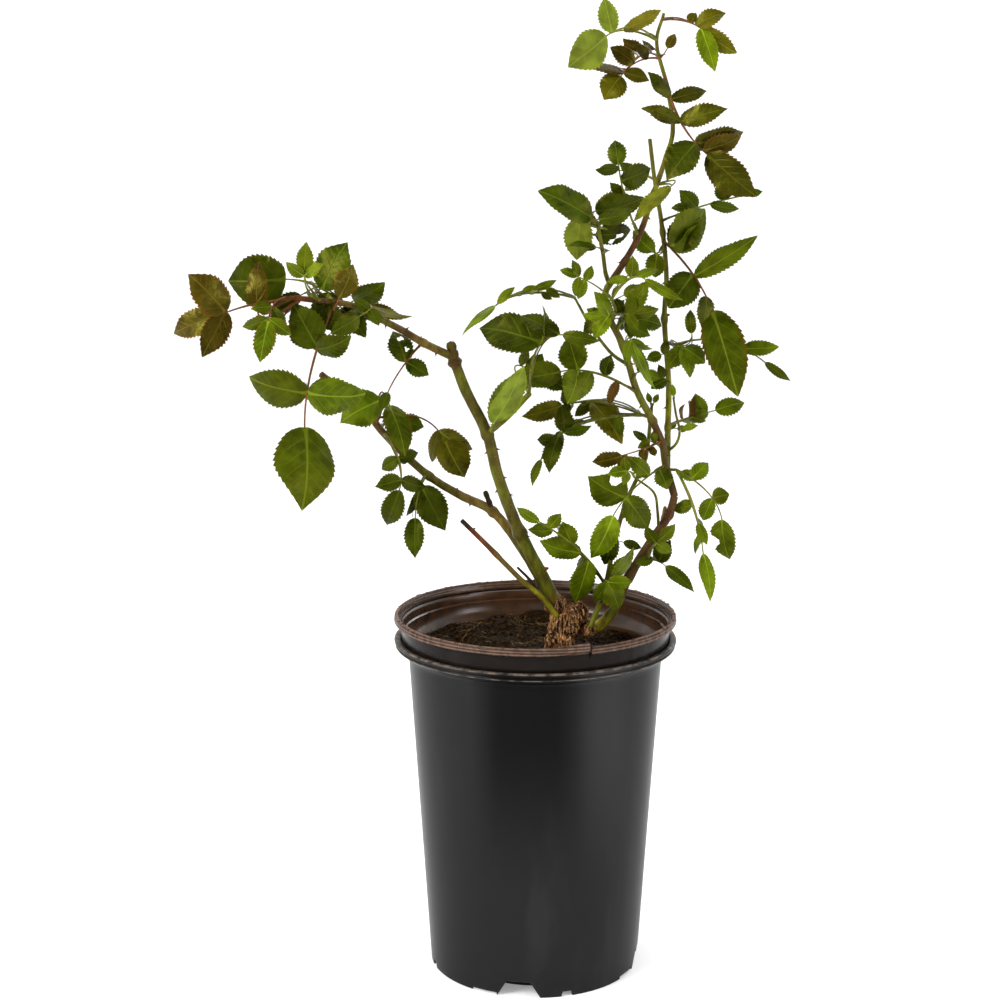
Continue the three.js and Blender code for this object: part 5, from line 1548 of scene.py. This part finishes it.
def studio():
    """A pale floor that curves up into a wall all round, four soft boxes and the camera."""
    wall_at, wall_top, bend, sides = 3.6, 4.2, 0.9, 64
    outline = [(0.01, 0.0), (0.6, 0.0), (wall_at - bend, 0.0)]
    for turn in np.linspace(0.1, 1.57, 12):
        outline.append((wall_at - bend + bend * math.sin(turn), bend - bend * math.cos(turn)))
    outline.append((wall_at, wall_top))
    turns = [2 * math.pi * k / sides for k in range(sides)]
    points = [(away * math.cos(turn), away * math.sin(turn), z) for away, z in outline for turn in turns]
    faces = [tuple(reversed(face)) for face in ring_faces(len(outline), sides)]
    mesh = bpy.data.meshes.new("studio_sweep")
    mesh.from_pydata(points, [], faces)
    mesh.polygons.foreach_set("use_smooth", [True] * len(faces))
    pale = Finish("studio_pale", 0.9, 0.1)
    pale.paint((0.86, 0.86, 0.86))
    pale.surface.inputs["Emission Color"].default_value = (1, 1, 1, 1)
    pale.surface.inputs["Emission Strength"].default_value = FLOOR_GLOW
    mesh.materials.append(pale.material)
    sweep = bpy.data.objects.new("studio_sweep", mesh)
    bpy.context.scene.collection.objects.link(sweep)
    for name, place, size, power in SOFT_BOXES:
        light = bpy.data.lights.new(name, "AREA")
        light.size = size
        light.energy = power
        lamp = bpy.data.objects.new(name, light)
        lamp.location = place
        lamp.rotation_euler = (Vector(AIMED_AT) - Vector(place)).to_track_quat("-Z", "Y").to_euler()
        bpy.context.scene.collection.objects.link(lamp)
    world = bpy.data.worlds.new("studio_air")
    world.use_nodes = True
    world.node_tree.nodes["Background"].inputs[0].default_value = (1, 1, 1, 1)
    world.node_tree.nodes["Background"].inputs[1].default_value = AIR_GLOW
    bpy.context.scene.world = world
    bpy.context.scene.view_settings.view_transform = "Standard"
    camera = bpy.data.cameras.new("camera")
    camera.lens = LENS
    camera.sensor_width = SENSOR
    eye = bpy.data.objects.new("camera", camera)
    eye.location = (EYE[0] / METRE, -EYE[1] / METRE, EYE[2] / METRE)
    eye.rotation_euler = (math.radians(90 - CAMERA_TILT), 0, 0)
    bpy.context.scene.collection.objects.link(eye)
    bpy.context.scene.camera = eye


make_finishes()
outer_pot()
inner_pot()
compost()
crumbs()
fibres()
rootstock()
for number, (cane_name, cane_spec) in enumerate(CANES.items()):
    cane(cane_name, cane_spec, number)
for number, (spray_name, spray_spec) in enumerate(SPRAYS.items()):
    spray(spray_name, spray_spec, number)
studio()
